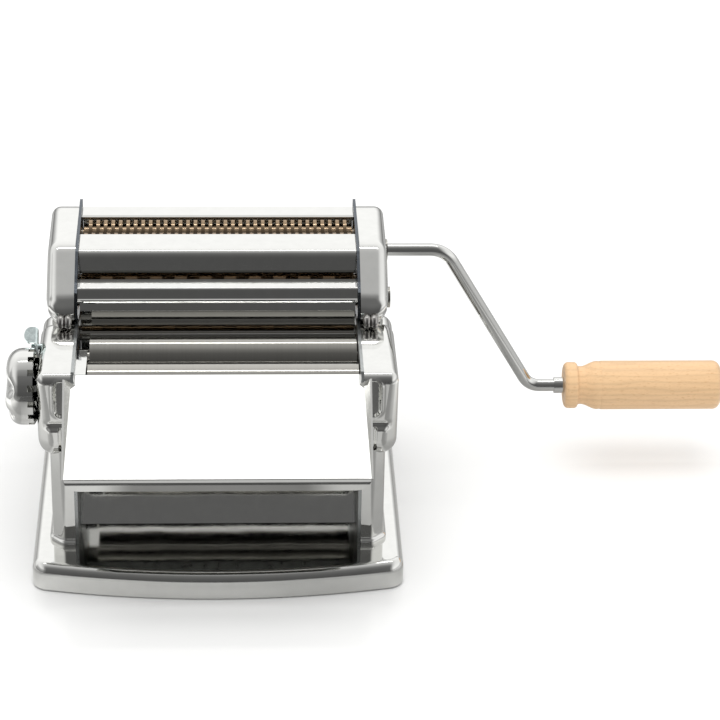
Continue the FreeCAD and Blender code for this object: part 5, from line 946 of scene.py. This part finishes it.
class PASTA_OT_stage(bpy.types.Operator):
    """Sets the table, the light and the camera"""

    bl_idname = "pasta.stage"
    bl_label = "Set the Stage"

    def execute(self, context):
        table = disc("table", 4000.0, 24, 96)
        table.data.materials.append(white_table(context.scene.pasta_colours))
        studio_world()
        # The overhead light stands for the whole white ceiling, so it has no mirror image of its own.
        softbox("overhead", (-0.05, -0.25, 1.5), (0.0, 0.0, 0.1), 1.5, 1.1, 13.0).visible_glossy = False
        # A bright strip behind gives the cutters their glints.
        softbox("strip_light", (0.0, 0.46, 1.5), (0.0, 0.0, 0.12), 1.4, 0.08, 2.4)
        # The tray mirrors two white panels in front of it; these stand for them and light nothing else.
        lit = bpy.data.collections.new("lit_by_tray_lights")
        lit.objects.link(bpy.data.objects["dough_tray_folded"])
        high = softbox("tray_light", (0.0, -0.193, 0.4), (0.0, -0.193, 0.0), 0.3, 0.105, 0.16)
        low = softbox("lip_light", (0.0, -0.4, 0.3), (0.0, -0.107, 0.07), 0.3, 0.24, 0.12)
        for lamp in (high, low):
            lamp.light_linking.receiver_collection = lit
        # The lens, the place and the three turns were solved from the photograph's straight lines.
        camera = bpy.data.cameras.new("camera")
        camera.lens = 147.317
        camera.sensor_width = 36.0
        camera.clip_end = 20.0
        yaw, pitch, roll = (math.radians(a) for a in (2.870, 28.635, 1.218))
        ahead = Vector((math.sin(yaw) * math.cos(pitch), math.cos(yaw) * math.cos(pitch), -math.sin(pitch)))
        level = Vector((math.cos(yaw), -math.sin(yaw), 0.0))
        upright = level.cross(ahead)
        right = level * math.cos(roll) + upright * math.sin(roll)
        up = upright * math.cos(roll) - level * math.sin(roll)
        made = bpy.data.objects.new("camera", camera)
        turned = Matrix((right, up, -ahead)).transposed().to_4x4()
        made.matrix_world = Matrix.Translation((0.006466, -1.364278, 0.836213)) @ turned
        context.scene.collection.objects.link(made)
        context.scene.camera = made
        context.scene.view_settings.view_transform = "Standard"
        return {"FINISHED"}


class PASTA_PT_panel(bpy.types.Panel):
    """Lists the colours and the steps that build the finish"""

    bl_idname = "PASTA_PT_panel"
    bl_label = "Pasta Machine"
    bl_space_type = "VIEW_3D"
    bl_region_type = "UI"
    bl_category = "Pasta Machine"

    def draw(self, context):
        for group in (context.scene.pasta_colours, context.scene.pasta_sizes):
            box = self.layout.box()
            for name in group.__annotations__:
                box.prop(group, name)
        for operator in OPERATORS:
            self.layout.operator(operator.bl_idname)


OPERATORS = (PASTA_OT_finish_parts, PASTA_OT_hoods, PASTA_OT_side_covers, PASTA_OT_end_covers, PASTA_OT_legs,
             PASTA_OT_tray, PASTA_OT_dial, PASTA_OT_lever, PASTA_OT_hooks, PASTA_OT_stage)
CLASSES = (PastaColours, PastaSizes, *OPERATORS, PASTA_PT_panel)


def register():
    for each in CLASSES:
        bpy.utils.register_class(each)
    bpy.types.Scene.pasta_colours = bpy.props.PointerProperty(type=PastaColours)
    bpy.types.Scene.pasta_sizes = bpy.props.PointerProperty(type=PastaSizes)


def unregister():
    del bpy.types.Scene.pasta_colours
    del bpy.types.Scene.pasta_sizes
    for each in reversed(CLASSES):
        bpy.utils.unregister_class(each)


def main():
    """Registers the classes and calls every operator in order."""
    register()
    for operator in OPERATORS:
        group, name = operator.bl_idname.split(".")
        getattr(getattr(bpy.ops, group), name)()


if __name__ == "__main__":
    main()
